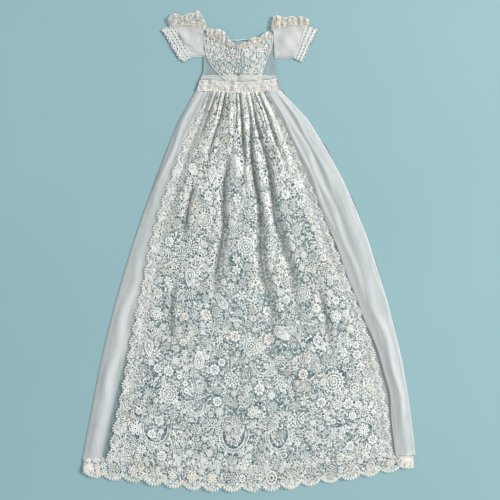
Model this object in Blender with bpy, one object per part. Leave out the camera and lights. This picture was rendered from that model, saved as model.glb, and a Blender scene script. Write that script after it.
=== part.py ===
"""Christening gown laid flat on its back: a long muslin skirt with a gathered lace panel down
its front, a scalloped lace hem, a small bodice and short lace-cuffed sleeves.

Every piece of cloth is a thin closed wall. Plan positions are in millimetres from the middle
of the waist seam, +X towards the wearer's left and +Y towards the neck. Heights are above the
surface that the gown lies on. At the end the whole gown is moved so that the origin is below
the middle of its box.
"""
import math
from collections import namedtuple

import bpy
from mathutils import Vector

MM = 0.001

# Cloth, millimetres
CLOTH = 1.2            # thickness of each wall
SEAM = 0.3             # gap between pieces sewn together or lying on each other
LAYER = CLOTH + SEAM   # one layer up
FRONT = LAYER          # underside of the front layer, on the back one
LACE = 2 * LAYER       # underside of lace that lies on the front muslin
STRING_RADIUS = 0.9

# How curves are read
LINE_SAMPLES = 24      # samples in each span of a smooth line
TANGENT_REACH = 0.004  # fraction of a line to each side over which its direction is taken
LOBE_ROUNDNESS = 0.7   # power that makes a scallop rounder than a plain sine

# The skirt, one row for each section: its distance below the waist seam, and how far left
# and right of the middle the cloth and the lace panel reach there.
Section = namedtuple("Section", "below left lace_left lace_right right")
SKIRT = (
    Section(below=0.0, left=-101.0, lace_left=-62.0, lace_right=54.0, right=97.0),
    Section(below=22.0, left=-117.0, lace_left=-68.0, lace_right=66.0, right=122.0),
    Section(below=90.0, left=-148.0, lace_left=-96.0, lace_right=92.0, right=166.0),
    Section(below=190.0, left=-185.0, lace_left=-134.0, lace_right=132.0, right=221.0),
    Section(below=320.0, left=-231.0, lace_left=-174.0, lace_right=178.0, right=277.0),
    Section(below=460.0, left=-273.0, lace_left=-204.0, lace_right=230.0, right=323.0),
    Section(below=600.0, left=-309.0, lace_left=-230.0, lace_right=279.0, right=361.0),
    Section(below=735.0, left=-336.0, lace_left=-256.0, lace_right=313.0, right=387.0),
    Section(below=875.0, left=-362.0, lace_left=-283.0, lace_right=330.0, right=404.0),
)
SKIRT_ROWS = 16        # sections of the lace panel's wall
LACE_COLUMNS = 30
MUSLIN_ROWS = 12
EDGE_OVERLAP = 14.0    # how far the muslin runs in under the lace edging
COVERED_SHARE = 0.2    # share of the left muslin's columns that lie under the edging

# Troughs between the gathers of the lace panel, one row for each. Across is a fraction of the
# panel's width and along a fraction of its length from the waist.
Trough = namedtuple("Trough", "across_top across_end along_top along_end width share")
TROUGHS = (
    Trough(across_top=0.10, across_end=0.06, along_top=-0.05, along_end=0.16, width=0.05, share=0.5),
    Trough(across_top=0.30, across_end=0.22, along_top=-0.05, along_end=0.26, width=0.06, share=0.9),
    Trough(across_top=0.43, across_end=0.34, along_top=-0.05, along_end=0.64, width=0.06, share=0.8),
    Trough(across_top=0.55, across_end=0.53, along_top=-0.05, along_end=0.26, width=0.05, share=0.8),
    Trough(across_top=0.66, across_end=0.58, along_top=-0.05, along_end=0.80, width=0.06, share=0.9),
    Trough(across_top=0.76, across_end=0.74, along_top=-0.05, along_end=0.70, width=0.06, share=0.9),
    Trough(across_top=0.90, across_end=0.92, along_top=-0.05, along_end=0.22, width=0.05, share=0.8),
    Trough(across_top=0.15, across_end=0.12, along_top=0.26, along_end=0.44, width=0.05, share=0.7),
    Trough(across_top=0.14, across_end=0.13, along_top=0.54, along_end=0.72, width=0.05, share=0.6),
    Trough(across_top=0.87, across_end=0.86, along_top=0.52, along_end=0.72, width=0.05, share=0.7),
)
LOFT_AT_WAIST = 8.0    # height of the gathers above the panel's lowest level
LOFT_AT_HEM = 1.6
LOFT_FADE = 0.33       # fraction of the length over which the gathers sink
LOFT_EDGE = 0.06       # fraction of the width over which the panel rises from its side edges
FOLD_TAPER = 3.0       # a fold has its full strength from a third of its length to two thirds

# Soft ridges of the front muslin, one row for each. Across runs from the lace to the side fold.
Ridge = namedtuple("Ridge", "across_top across_end along_top along_end width height")
LEFT_RIDGES = (
    Ridge(across_top=0.55, across_end=0.50, along_top=-0.10, along_end=0.40, width=0.35, height=3.0),
    Ridge(across_top=0.62, across_end=0.60, along_top=0.55, along_end=1.10, width=0.35, height=2.6),
)
RIGHT_RIDGES = (
    Ridge(across_top=0.25, across_end=0.22, along_top=-0.10, along_end=0.45, width=0.22, height=2.4),
    Ridge(across_top=0.70, across_end=0.62, along_top=-0.10, along_end=0.60, width=0.28, height=3.6),
    Ridge(across_top=0.40, across_end=0.55, along_top=0.45, along_end=1.10, width=0.32, height=2.6),
)

RIDGE_START = 0.3      # share of the free cloth over which ridges rise beside the edging

# The Z fold of the right muslin: where its hidden outer crease and its visible inner crease
# lie, measured outwards from the lace panel's edge.
Fold = namedtuple("Fold", "below outer inner")
RIGHT_FOLD = (
    Fold(below=0.0, outer=26.0, inner=6.0),
    Fold(below=90.0, outer=36.0, inner=11.0),
    Fold(below=190.0, outer=46.0, inner=17.0),
    Fold(below=320.0, outer=50.0, inner=20.0),
    Fold(below=460.0, outer=52.0, inner=20.0),
    Fold(below=600.0, outer=56.0, inner=26.0),
    Fold(below=735.0, outer=54.0, inner=31.0),
    Fold(below=875.0, outer=50.0, inner=27.0),
)
FOLD_FALL = 0.55       # share of the free cloth after which it comes down to the side fold
FREE_COLUMNS = 9       # columns from the inner crease to the side fold

EDGING_WIDTH = 24.0    # from the panel's edge to the tips of the scallops
EDGING_LOBES = 26
LOBE_STEPS = 3         # straight steps that make each scallop
LOBE_DEPTH = 7.0
EDGING_CLEARANCE = 1.0 # level muslin beyond the tips of the scallops
EDGING_AT_WAIST = 0.45 # share of the edging's width at the waist
EDGING_WIDENS = 0.12   # fraction of the length over which it reaches its full width

# The hem band: its top and the line through its scallop tips.
HEM_TOP = ((-360, -848), (-240, -851), (-120, -863), (0, -869), (120, -862), (240, -848), (401, -832))
HEM_TIPS = ((-363, -874), (-322, -889), (-241, -897), (-150, -911), (-34, -920), (80, -917),
            (195, -900), (310, -881), (402, -860))
HEM_LOBES = 26
HEM_LOBE_DEPTH = 9.0
HEM_WAVES = 5          # soft waves across the front band
HEM_WAVE = 1.2         # half the height of a wave at the free edge
HEM_WAVE_START = 0.6   # where the first wave begins, radians
HEM_WAVE_AT_SEAM = 0.4 # share of a wave's height at the seam

# Waistband
WAIST_TOP = ((-91, 28), (-57, 25), (0, 23), (51, 25), (86, 31))
WAIST_SEAM = ((-99, 2), (-57, 0), (0, -2), (51, -1), (92, 5))
BAND_STEPS = 10
BAND_THICKNESS = 1.8
BAND_SWELL = 1.6       # how far the front band rises in its middle

# Bodice
NECK_FRONT = ((-82, 139), (-62, 128), (-46, 120), (-30, 111), (-14, 104), (2, 102), (18, 109),
              (34, 116), (51, 121), (64, 128), (77, 135))
SIDE_LEFT = ((-82, 139), (-80.3, 118), (-78.6, 97), (-77, 78), (-80, 57), (-86, 41), (-91, 28.3))
SIDE_RIGHT = ((77, 135), (78, 115), (79, 96), (80, 76), (83, 57), (84, 44), (86, 31.3))
LACE_OUTER_LEFT = ((-80, 136), (-80, 106), (-74, 78), (-59, 53), (-32, 26))
LACE_INNER_LEFT = ((0, 101), (0, 76), (-10, 53), (-7, 24))
LACE_OUTER_RIGHT = ((75, 133), (75, 106), (64, 80), (55, 53), (47, 26))
LACE_INNER_RIGHT = ((5, 101), (7, 71), (3, 48), (0, 24))
BACK_EDGE_LEFT = ((-25, 115), (-21, 83), (-14, 48), (-9, 23.3))
BACK_EDGE_RIGHT = ((23, 116), (14, 83), (5, 48), (0, 23.3))

BODICE_SWELL = 3.4     # how far the front rises in its middle
BODICE_REACH = 88.0
BODICE_FLAT = 20.0     # below this height it lies flat
BODICE_RISE = 30.0     # height above that over which it comes to its full swell
LACE_CLEARANCE = 0.2   # extra gap under lace that lies on the swell
FRILL_CLEARANCE = 0.6  # extra gap under the neck frill

# Sleeves: the armhole, the seam where the lace cuff begins, and the cuff's free edge.
ARMHOLE_LEFT = ((-86, 162), (-82.6, 139), (-80.9, 118), (-79.2, 97), (-77.6, 79))
CUFF_SEAM_LEFT = ((-154, 157), (-138, 133), (-121, 103), (-107, 79))
CUFF_EDGE_LEFT = ((-182, 141), (-168, 120), (-154, 94), (-143, 78), (-131, 69))
ARMHOLE_RIGHT = ((81, 160), (77.6, 135), (78.6, 115), (79.6, 96), (80.6, 77))
CUFF_SEAM_RIGHT = ((154, 155), (143, 125), (134, 98), (124, 76))
CUFF_EDGE_RIGHT = ((182, 143), (172, 124), (159, 101), (150, 80), (145, 69))
SLEEVE_LEFT_CENTRE = (-113, 117)
SLEEVE_RIGHT_CENTRE = (110, 116)
SLEEVE_PUFF = 3.4
SLEEVE_REACH = 58.0    # from the puff's crest to where it has sunk flat
SLEEVE_FOLD_DEPTH = 0.14
SLEEVE_FOLD_PITCH = 30.0
CUFF_LOBES = 8
CUFF_LOBE_DEPTH = 2.5

# Frills: the line they are sewn along, their free edge, and their flutes.
SHOULDER_SEAM_LEFT = ((-81, 139), (-94, 144), (-108, 149), (-128, 151), (-147, 147), (-160, 151))
SHOULDER_EDGE_LEFT = ((-74, 149), (-82, 165), (-96, 184), (-116, 178), (-135, 175), (-151, 177), (-165, 165))
SHOULDER_SEAM_RIGHT = ((77, 135), (88, 142), (103, 148), (122, 151), (142, 151), (160, 151))
SHOULDER_EDGE_RIGHT = ((72, 142), (77, 155), (79, 172), (98, 172), (120, 172), (142, 171), (162, 167))
NECK_SEAM = ((-77, 131), (-62, 122), (-46, 113), (-30, 105), (-14, 99), (2, 97), (18, 103),
             (34, 110), (51, 116), (64, 122), (74, 129))
NECK_EDGE = ((-70, 144), (-60, 144), (-48, 141), (-35, 132), (-28, 119), (-14, 109), (2, 106),
             (18, 114), (34, 122), (51, 127), (68, 136))
FLUTE_STEPS = 4        # straight steps in each flute
SHOULDER_FLUTES = 7
NECK_FLUTES = 13
FLUTE_HEIGHT = 2.2
FLUTE_AT_SEAM = 0.35   # share of a flute's height at the seam

# The drawstring, from its casing in one back half to the other, with a small knot.
STRING = ((-34, 116), (-24, 118), (-13, 118), (-9, 118), (-5, 118), (6, 119.5), (18, 119.5), (31, 117.5))
STRING_KNOT = 3        # which point carries the knot
KNOT_SWELL = 2.0
KNOT_REACH = 4.0
STRING_POINTS = 20

Finish = namedtuple("Finish", "red green blue roughness")
MUSLIN = Finish(red=0.80, green=0.84, blue=0.85, roughness=0.85)
NEEDLE_LACE = Finish(red=0.88, green=0.87, blue=0.83, roughness=0.80)
INSERTION = Finish(red=0.84, green=0.82, blue=0.78, roughness=0.80)
CORD = Finish(red=0.90, green=0.89, blue=0.86, roughness=0.70)


def clear_scene():
    for thing in list(bpy.data.objects):
        bpy.data.objects.remove(thing, do_unlink=True)


def material(name, finish):
    made = bpy.data.materials.get(name)
    if made is None:
        made = bpy.data.materials.new(name)
        made.use_nodes = True
        shader = made.node_tree.nodes["Principled BSDF"]
        shader.inputs["Base Color"].default_value = (finish.red, finish.green, finish.blue, 1.0)
        shader.inputs["Roughness"].default_value = finish.roughness
        shader.inputs["Metallic"].default_value = 0.0
    return made


FINISH_NAMES = {MUSLIN: "muslin", NEEDLE_LACE: "needle_lace", INSERTION: "insertion", CORD: "cord"}


def smooth_step(value):
    value = min(max(value, 0.0), 1.0)
    return value * value * (3.0 - 2.0 * value)


def hump(distance, width):
    """A round hump, 1 at its crest and 0 from width away."""
    if abs(distance) >= width:
        return 0.0
    return 0.5 + 0.5 * math.cos(math.pi * distance / width)


def through(values, at):
    """A smooth curve through evenly numbered values (Catmull-Rom), read at 0 to 1."""
    last = len(values) - 1
    place = min(max(at, 0.0), 1.0) * last
    first = min(int(place), last - 1)
    part = place - first
    before = values[max(first - 1, 0)]
    start = values[first]
    end = values[first + 1]
    after = values[min(first + 2, last)]
    return 0.5 * (2 * start + (end - before) * part
                  + (2 * before - 5 * start + 4 * end - after) * part ** 2
                  + (3 * start - before - 3 * end + after) * part ** 3)


class Line:
    """A smooth line through plan points, read by the fraction of its length."""

    def __init__(self, points):
        self.points = [Vector(point) for point in points]
        fine = LINE_SAMPLES * (len(points) - 1)
        self.samples = [through(self.points, step / fine) for step in range(fine + 1)]
        self.reach = [0.0]
        for before, after in zip(self.samples, self.samples[1:]):
            self.reach.append(self.reach[-1] + (after - before).length)

    def at(self, fraction):
        target = fraction * self.reach[-1]
        for index in range(1, len(self.reach)):
            if self.reach[index] >= target:
                break
        step = self.reach[index] - self.reach[index - 1]
        part = (target - self.reach[index - 1]) / step
        return self.samples[index - 1].lerp(self.samples[index], part)


def scalloped(line, lobes, depth, side):
    """The line with round scallops whose tips touch it; side is +1 for its left."""
    def at(fraction):
        here = line.at(fraction)
        ahead = line.at(min(fraction + TANGENT_REACH, 1.0)) - line.at(max(fraction - TANGENT_REACH, 0.0))
        outward = Vector((-ahead.y, ahead.x)).normalized() * side
        swing = abs(math.sin(math.pi * lobes * fraction))
        return here - outward * depth * (1.0 - swing ** LOBE_ROUNDNESS)
    return at


def between(first, second):
    """The straight line from the end of one plan line to the end of another."""
    def at(fraction):
        return first.lerp(second, fraction)
    return at


def patch(left, right, top=None, bottom=None):
    """A surface filled in between four boundary lines, each read at 0 to 1."""
    top = top or between(left(0.0), right(0.0))
    bottom = bottom or between(left(1.0), right(1.0))

    def at(across, along):
        rows = top(across).lerp(bottom(across), along)
        columns = left(along).lerp(right(along), across)
        corners = left(0.0).lerp(right(0.0), across).lerp(left(1.0).lerp(right(1.0), across), along)
        return rows + columns - corners
    return at


def wall(name, grid, finish, thickness=CLOTH):
    """A closed wall on a grid of underside points, rows by columns, and its top above it."""
    rows = len(grid)
    columns = len(grid[0])
    under = [Vector(point) for row in grid for point in row]
    over = [point + Vector((0.0, 0.0, thickness)) for point in under]
    return solid(name, under, over, rows, columns, finish)


def solid(name, under, over, rows, columns, finish):
    """One closed body from its lower and upper points, with a rim all round."""
    count = rows * columns
    faces = []
    for row in range(rows - 1):
        for column in range(columns - 1):
            first = row * columns + column
            below = first + columns
            faces.append((first, first + 1, below + 1, below))
            faces.append((count + first, count + below, count + below + 1, count + first + 1))
    rim = list(range(columns))
    rim += [row * columns + columns - 1 for row in range(1, rows)]
    rim += [(rows - 1) * columns + column for column in range(columns - 2, -1, -1)]
    rim += [row * columns for row in range(rows - 2, 0, -1)]
    for here, following in zip(rim, rim[1:] + rim[:1]):
        faces.append((here, count + here, count + following, following))
    mesh = bpy.data.meshes.new(name)
    mesh.from_pydata([tuple(point * MM) for point in under + over], [], faces)
    mesh.update()
    made = bpy.data.objects.new(name, mesh)
    bpy.context.scene.collection.objects.link(made)
    face_outwards(mesh)
    mesh.materials.append(material(FINISH_NAMES[finish], finish))
    return made


def face_outwards(mesh):
    """Flip every face if the body they close has a negative volume."""
    volume = 0.0
    for polygon in mesh.polygons:
        corners = [mesh.vertices[index].co for index in polygon.vertices]
        for second, third in zip(corners[1:], corners[2:]):
            volume += corners[0].dot(second.cross(third))
    if volume < 0.0:
        mesh.flip_normals()


def panel(name, surface, columns, rows, lift, finish, thickness=CLOTH):
    """A wall over a patch; lift gives the underside's height from across, along and place."""
    grid = []
    for row in range(rows + 1):
        line = []
        for column in range(columns + 1):
            across = column / columns
            along = row / rows
            place = surface(across, along)
            line.append((place.x, place.y, lift(across, along, place)))
        grid.append(line)
    return wall(name, grid, finish, thickness)


def level(height):
    return lambda across, along, place: height


# --- Skirt ---------------------------------------------------------------------------------

def table_line(table, column, along):
    """A column of a table, read smoothly at a fraction of the last row's distance."""
    below = along * table[-1].below
    for first, second in zip(table, table[1:]):
        if second.below >= below:
            break
    part = (below - first.below) / (second.below - first.below)
    index = table.index(first)
    before = table[max(index - 1, 0)]
    after = table[min(index + 2, len(table) - 1)]
    span = second.below - first.below
    rise = getattr(second, column) - getattr(first, column)
    slope_in = slope(before, second, column, rise / span) * span
    slope_out = slope(first, after, column, rise / span) * span
    start = getattr(first, column)
    return (start + slope_in * part + (3 * rise - 2 * slope_in - slope_out) * part ** 2
            + (slope_in + slope_out - 2 * rise) * part ** 3)


def slope(before, after, column, fallback):
    if after.below == before.below:
        return fallback
    return (getattr(after, column) - getattr(before, column)) / (after.below - before.below)


WAIST_LINE = Line(WAIST_SEAM)
HEM_LINE = Line(HEM_TOP)


def height_on(line, x):
    """The y of a left-to-right line at x."""
    samples = line.samples
    for first, second in zip(samples, samples[1:]):
        if second.x >= x:
            break
    part = (x - first.x) / (second.x - first.x)
    return first.y + (second.y - first.y) * part


def skirt_point(x_at, along):
    """A plan point of the skirt whose x comes from a column or a formula at along."""
    x = x_at(along)
    top = height_on(WAIST_LINE, x) - SEAM
    bottom = height_on(HEM_LINE, x) + 2 * SEAM
    return Vector((x, top + (bottom - top) * along))


def column(name, shift=0.0):
    return lambda along: table_line(SKIRT, name, along) + shift


def stepped(x_at):
    """The line x_at with straight steps between the skirt's rows, as the panels' walls have it."""
    def at(along):
        row = min(int(along * SKIRT_ROWS), SKIRT_ROWS - 1)
        start = x_at(row / SKIRT_ROWS)
        end = x_at((row + 1) / SKIRT_ROWS)
        return start + (end - start) * (along * SKIRT_ROWS - row)
    return at


def skirt_surface(left_at, right_at):
    def at(across, along):
        def x_at(place):
            return left_at(place) + (right_at(place) - left_at(place)) * across
        return skirt_point(x_at, along)
    return at


def travel(row, along):
    """How far along a fold a section lies, 0 to 1, and how strongly the fold shows there."""
    length = row.along_end - row.along_top
    part = (along - row.along_top) / length
    if part <= 0.0 or part >= 1.0:
        return 0.0, 0.0
    return part, min(1.0, FOLD_TAPER * min(part, 1.0 - part))


def panel_loft(across, along):
    """Height of the lace panel above its lowest level: high gathers that sink to the hem."""
    loft = LOFT_AT_HEM + (LOFT_AT_WAIST - LOFT_AT_HEM) * math.exp(-along / LOFT_FADE)
    body = smooth_step(min(across, 1.0 - across) / LOFT_EDGE)
    trough = 0.0
    for row in TROUGHS:
        part, strength = travel(row, along)
        centre = row.across_top + (row.across_end - row.across_top) * part
        trough = max(trough, row.share * strength * hump(across - centre, row.width))
    return loft * body * (1.0 - trough)


def lace_lift(across, along, place):
    return LACE + panel_loft(across, along)


def ridge_lift(rows, across, along):
    height = 0.0
    for row in rows:
        part, strength = travel(row, along)
        centre = row.across_top + (row.across_end - row.across_top) * part
        height = max(height, row.height * strength * hump(across - centre, row.width))
    return height


def build_skirt():
    whole = skirt_surface(column("left"), column("right"))
    panel("skirt_back", whole, 12, MUSLIN_ROWS // 2, level(0.0), MUSLIN)
    lace = skirt_surface(column("lace_left"), column("lace_right"))
    panel("lace_panel", lace, LACE_COLUMNS, SKIRT_ROWS, lace_lift, NEEDLE_LACE)
    build_left_muslin()
    build_right_muslin()
    build_edging("edging_left", "lace_left", -1.0)
    build_edging("edging_right", "lace_right", 1.0)


def build_left_muslin():
    """Level where the edging lies on it, and softly ridged from there to the side fold."""
    border = column("lace_left", -EDGING_WIDTH - EDGING_CLEARANCE)
    covered = skirt_surface(column("lace_left", EDGE_OVERLAP), border)
    free = skirt_surface(border, column("left"))

    def surface(across, along):
        if across <= COVERED_SHARE:
            return covered(across / COVERED_SHARE, along)
        return free((across - COVERED_SHARE) / (1.0 - COVERED_SHARE), along)

    def lift(across, along, place):
        beyond = max(across - COVERED_SHARE, 0.0) / (1.0 - COVERED_SHARE)
        return FRONT + ridge_lift(LEFT_RIDGES, beyond, along) * smooth_step(beyond / RIDGE_START)

    panel("skirt_front_left", surface, 10, MUSLIN_ROWS, lift, MUSLIN)


def fold_section(along):
    """The right muslin's section as (x, z) points through the middle of its thickness."""
    edge = table_line(SKIRT, "lace_right", along)
    side = table_line(SKIRT, "right", along)
    outer = edge + table_line(RIGHT_FOLD, "outer", along)
    inner = edge + table_line(RIGHT_FOLD, "inner", along)
    low = FRONT + CLOTH / 2
    middle = LACE + LAYER + CLOTH / 2
    high = middle + LAYER
    turn_out = (middle - low) / 2
    turn_in = (high - middle) / 2
    section = [(edge - EDGE_OVERLAP, low), (edge, low), (outer - turn_out, low)]
    for angle in (-45, 0, 45):
        turn = math.radians(angle)
        centre = (low + middle) / 2
        section.append((outer - turn_out + turn_out * math.cos(turn), centre + turn_out * math.sin(turn)))
    section.append((outer - turn_out, middle))
    section.append((inner + turn_in, middle))
    section.append((inner, (middle + high) / 2))
    section.append((inner + turn_in, high))
    for step in range(1, FREE_COLUMNS + 1):
        across = step / FREE_COLUMNS
        fall = smooth_step((across - FOLD_FALL) / (1.0 - FOLD_FALL))
        height = high + (low - high) * fall + ridge_lift(RIGHT_RIDGES, across, along)
        section.append((inner + turn_in + (side - inner - turn_in) * across, height))
    return section


def build_right_muslin():
    """A wall half a thickness to each side of the folded section, at each row down the skirt."""
    under = []
    over = []
    for row in range(MUSLIN_ROWS + 1):
        along = row / MUSLIN_ROWS
        section = [Vector(point) for point in fold_section(along)]
        last = len(section) - 1
        for index, point in enumerate(section):
            tangent = section[min(index + 1, last)] - section[max(index - 1, 0)]
            across = Vector((-tangent.y, tangent.x)).normalized() * CLOTH / 2
            for side, points in ((-1, under), (1, over)):
                edge = point + across * side
                plan = skirt_point(lambda place: edge.x, along)
                points.append(Vector((plan.x, plan.y, edge.y)))
    columns = len(fold_section(0.0))
    solid("skirt_front_right", under, over, MUSLIN_ROWS + 1, columns, MUSLIN)


def build_edging(name, edge_name, side):
    """A scalloped strip sewn to one side of the lace panel."""
    steps = EDGING_LOBES * LOBE_STEPS
    seam_at = stepped(column(edge_name, side * SEAM))

    def tip_at(along):
        swing = abs(math.sin(math.pi * EDGING_LOBES * along)) ** LOBE_ROUNDNESS
        fade = EDGING_AT_WAIST + (1.0 - EDGING_AT_WAIST) * smooth_step(along / EDGING_WIDENS)
        return seam_at(along) + side * (EDGING_WIDTH * fade - LOBE_DEPTH * (1.0 - swing))

    panel(name, skirt_surface(seam_at, tip_at), 1, steps, level(LACE), NEEDLE_LACE)


def build_hem():
    """The scalloped bands below the skirt, one in front of the other."""
    tips = scalloped(Line(HEM_TIPS), HEM_LOBES, HEM_LOBE_DEPTH, -1.0)
    steps = HEM_LOBES * LOBE_STEPS
    left = between(HEM_LINE.at(0.0), tips(0.0))
    right = between(HEM_LINE.at(1.0), tips(1.0))
    surface = patch(left, right, HEM_LINE.at, tips)

    def wave(across, along, place):
        rise = HEM_WAVE * (1.0 + math.sin(across * 2 * math.pi * HEM_WAVES + HEM_WAVE_START))
        return FRONT + rise * (HEM_WAVE_AT_SEAM + (1.0 - HEM_WAVE_AT_SEAM) * along)

    panel("hem_lace_back", surface, steps, 1, level(0.0), NEEDLE_LACE)
    panel("hem_lace_front", surface, steps, 1, wave, NEEDLE_LACE)


# --- Bodice --------------------------------------------------------------------------------

def build_waistband():
    top = Line(WAIST_TOP)
    surface = patch(between(top.at(0.0), WAIST_LINE.at(0.0)), between(top.at(1.0), WAIST_LINE.at(1.0)),
                    top.at, WAIST_LINE.at)
    panel("waistband_back", surface, BAND_STEPS, 1, level(0.0), INSERTION)

    def swell(across, along, place):
        return FRONT + BAND_SWELL * hump(across - 0.5, 0.5)

    panel("waistband_front", surface, BAND_STEPS, 1, swell, INSERTION, BAND_THICKNESS)


def bodice_swell(place):
    """The front bodice rises a little in its middle."""
    return BODICE_SWELL * hump(place.x, BODICE_REACH) * smooth_step((place.y - BODICE_FLAT) / BODICE_RISE)


def above_waist(line):
    """The line moved up by a seam's gap."""
    return Line([(x, y + SEAM) for x, y in line])


def build_bodice():
    waist = above_waist(WAIST_TOP)
    neck = Line(NECK_FRONT)
    front = patch(Line(SIDE_LEFT).at, Line(SIDE_RIGHT).at, neck.at, waist.at)

    def front_lift(across, along, place):
        return FRONT + bodice_swell(place)

    def lace_on_front(across, along, place):
        return FRONT + LAYER + bodice_swell(place) + LACE_CLEARANCE

    panel("bodice_front", front, 12, 7, front_lift, MUSLIN)
    lace_sides = (("left", LACE_OUTER_LEFT, LACE_INNER_LEFT), ("right", LACE_OUTER_RIGHT, LACE_INNER_RIGHT))
    for side, outer, inner in lace_sides:
        surface = patch(Line(outer).at, Line(inner).at)
        panel("bodice_lace_" + side, surface, 6, 7, lace_on_front, NEEDLE_LACE)
    for side, seam, opening in (("left", SIDE_LEFT, BACK_EDGE_LEFT), ("right", SIDE_RIGHT, BACK_EDGE_RIGHT)):
        surface = patch(Line(seam).at, Line(opening).at)
        panel("bodice_back_" + side, surface, 3, 6, level(0.0), MUSLIN)


# --- Sleeves -------------------------------------------------------------------------------

def sleeve_puff(place, centre):
    """Height of a sleeve's puff, with three soft folds running down from the armhole."""
    turn = (place.y - centre[1]) * 2 * math.pi / SLEEVE_FOLD_PITCH
    folds = 1.0 - SLEEVE_FOLD_DEPTH * (1.0 - math.cos(turn))
    return SLEEVE_PUFF * hump((place - Vector(centre)).length, SLEEVE_REACH) * folds


def build_sleeve(side, armhole, cuff_seam, cuff_edge, outward, centre):
    arm = Line(armhole)
    seam = Line(cuff_seam)
    edge = Line(cuff_edge)
    body = patch(between(arm.at(0.0), seam.at(0.0)), between(arm.at(1.0), seam.at(1.0)), arm.at, seam.at)

    def puff(across, along, place):
        return FRONT + sleeve_puff(place, centre)

    panel("sleeve_" + side + "_back", body, 4, 2, level(0.0), MUSLIN)
    panel("sleeve_" + side + "_front", body, 10, 6, puff, MUSLIN)
    shift = Vector((SEAM * outward, 0.0))

    def cuff_start(fraction):
        return seam.at(fraction) + shift

    tips = scalloped(edge, CUFF_LOBES, CUFF_LOBE_DEPTH, -outward)
    steps = CUFF_LOBES * LOBE_STEPS
    cuff = patch(between(cuff_start(0.0), tips(0.0)), between(cuff_start(1.0), tips(1.0)), cuff_start, tips)
    panel("cuff_" + side + "_back", cuff, steps, 1, level(0.0), NEEDLE_LACE)
    panel("cuff_" + side + "_front", cuff, steps, 1, level(FRONT), NEEDLE_LACE)


def build_frill(name, seam, edge, flutes, carrier):
    """A gathered strip on its carrier's height: flat at its seam and fluted along its free edge."""
    top = Line(edge)
    base = Line(seam)
    surface = patch(between(base.at(0.0), top.at(0.0)), between(base.at(1.0), top.at(1.0)), base.at, top.at)

    def flute(across, along, place):
        swing = 0.5 - 0.5 * math.cos(2 * math.pi * flutes * across)
        return carrier(place) + FLUTE_HEIGHT * swing * (FLUTE_AT_SEAM + (1.0 - FLUTE_AT_SEAM) * along)

    panel(name, surface, flutes * FLUTE_STEPS, 1, flute, NEEDLE_LACE)


def sleeve_carrier(centre):
    """Height of a frill on a puffed sleeve head."""
    return lambda place: FRONT + LAYER + sleeve_puff(place, centre) + SEAM


def neck_carrier(place):
    """Height of a frill on the bodice front and its lace."""
    return FRONT + 2 * LAYER + bodice_swell(place) + FRILL_CLEARANCE


def build_string():
    """The drawstring: a thin tube with a knot, bridging the open back of the neck."""
    route = Line(STRING)
    curve = bpy.data.curves.new("neck_string", "CURVE")
    curve.dimensions = "3D"
    curve.bevel_depth = STRING_RADIUS * MM
    curve.bevel_resolution = 2
    curve.use_fill_caps = True
    spline = curve.splines.new("POLY")
    spline.points.add(STRING_POINTS - 1)
    knot = Vector(STRING[STRING_KNOT])
    height = LAYER + STRING_RADIUS
    for index, point in enumerate(spline.points):
        place = route.at(index / (STRING_POINTS - 1))
        near = hump((place - knot).length, KNOT_REACH)
        point.co = (place.x * MM, place.y * MM, height * MM, 1.0)
        point.radius = 1.0 + (KNOT_SWELL - 1.0) * near
    made = bpy.data.objects.new("neck_string", curve)
    bpy.context.scene.collection.objects.link(made)
    curve.materials.append(material("cord", CORD))


def settle_on_origin():
    """Move every piece so that the origin is below the middle of the gown's box."""
    bpy.context.view_layer.update()
    corners = []
    for thing in bpy.data.objects:
        corners += [thing.matrix_world @ Vector(corner) for corner in thing.bound_box]
    lowest = [min(corner[axis] for corner in corners) for axis in range(3)]
    highest = [max(corner[axis] for corner in corners) for axis in range(3)]
    shift = Vector((-(lowest[0] + highest[0]) / 2, -(lowest[1] + highest[1]) / 2, -lowest[2]))
    for thing in bpy.data.objects:
        thing.location += shift


clear_scene()
build_skirt()
build_hem()
build_waistband()
build_bodice()
build_sleeve("left", ARMHOLE_LEFT, CUFF_SEAM_LEFT, CUFF_EDGE_LEFT, -1.0, SLEEVE_LEFT_CENTRE)
build_sleeve("right", ARMHOLE_RIGHT, CUFF_SEAM_RIGHT, CUFF_EDGE_RIGHT, 1.0, SLEEVE_RIGHT_CENTRE)
build_frill("shoulder_frill_left", SHOULDER_SEAM_LEFT, SHOULDER_EDGE_LEFT, SHOULDER_FLUTES,
            sleeve_carrier(SLEEVE_LEFT_CENTRE))
build_frill("shoulder_frill_right", SHOULDER_SEAM_RIGHT, SHOULDER_EDGE_RIGHT, SHOULDER_FLUTES,
            sleeve_carrier(SLEEVE_RIGHT_CENTRE))
build_frill("neck_frill", NECK_SEAM, NECK_EDGE, NECK_FLUTES, neck_carrier)
build_string()
settle_on_origin()
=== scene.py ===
"""Christening gown laid flat: sheer muslin shells and needle lace drawn as real threads."""

import math
import random
from collections import namedtuple

import bpy
import numpy as np
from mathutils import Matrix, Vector
from mathutils.bvhtree import BVHTree
from mathutils.geometry import delaunay_2d_cdt


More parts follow.
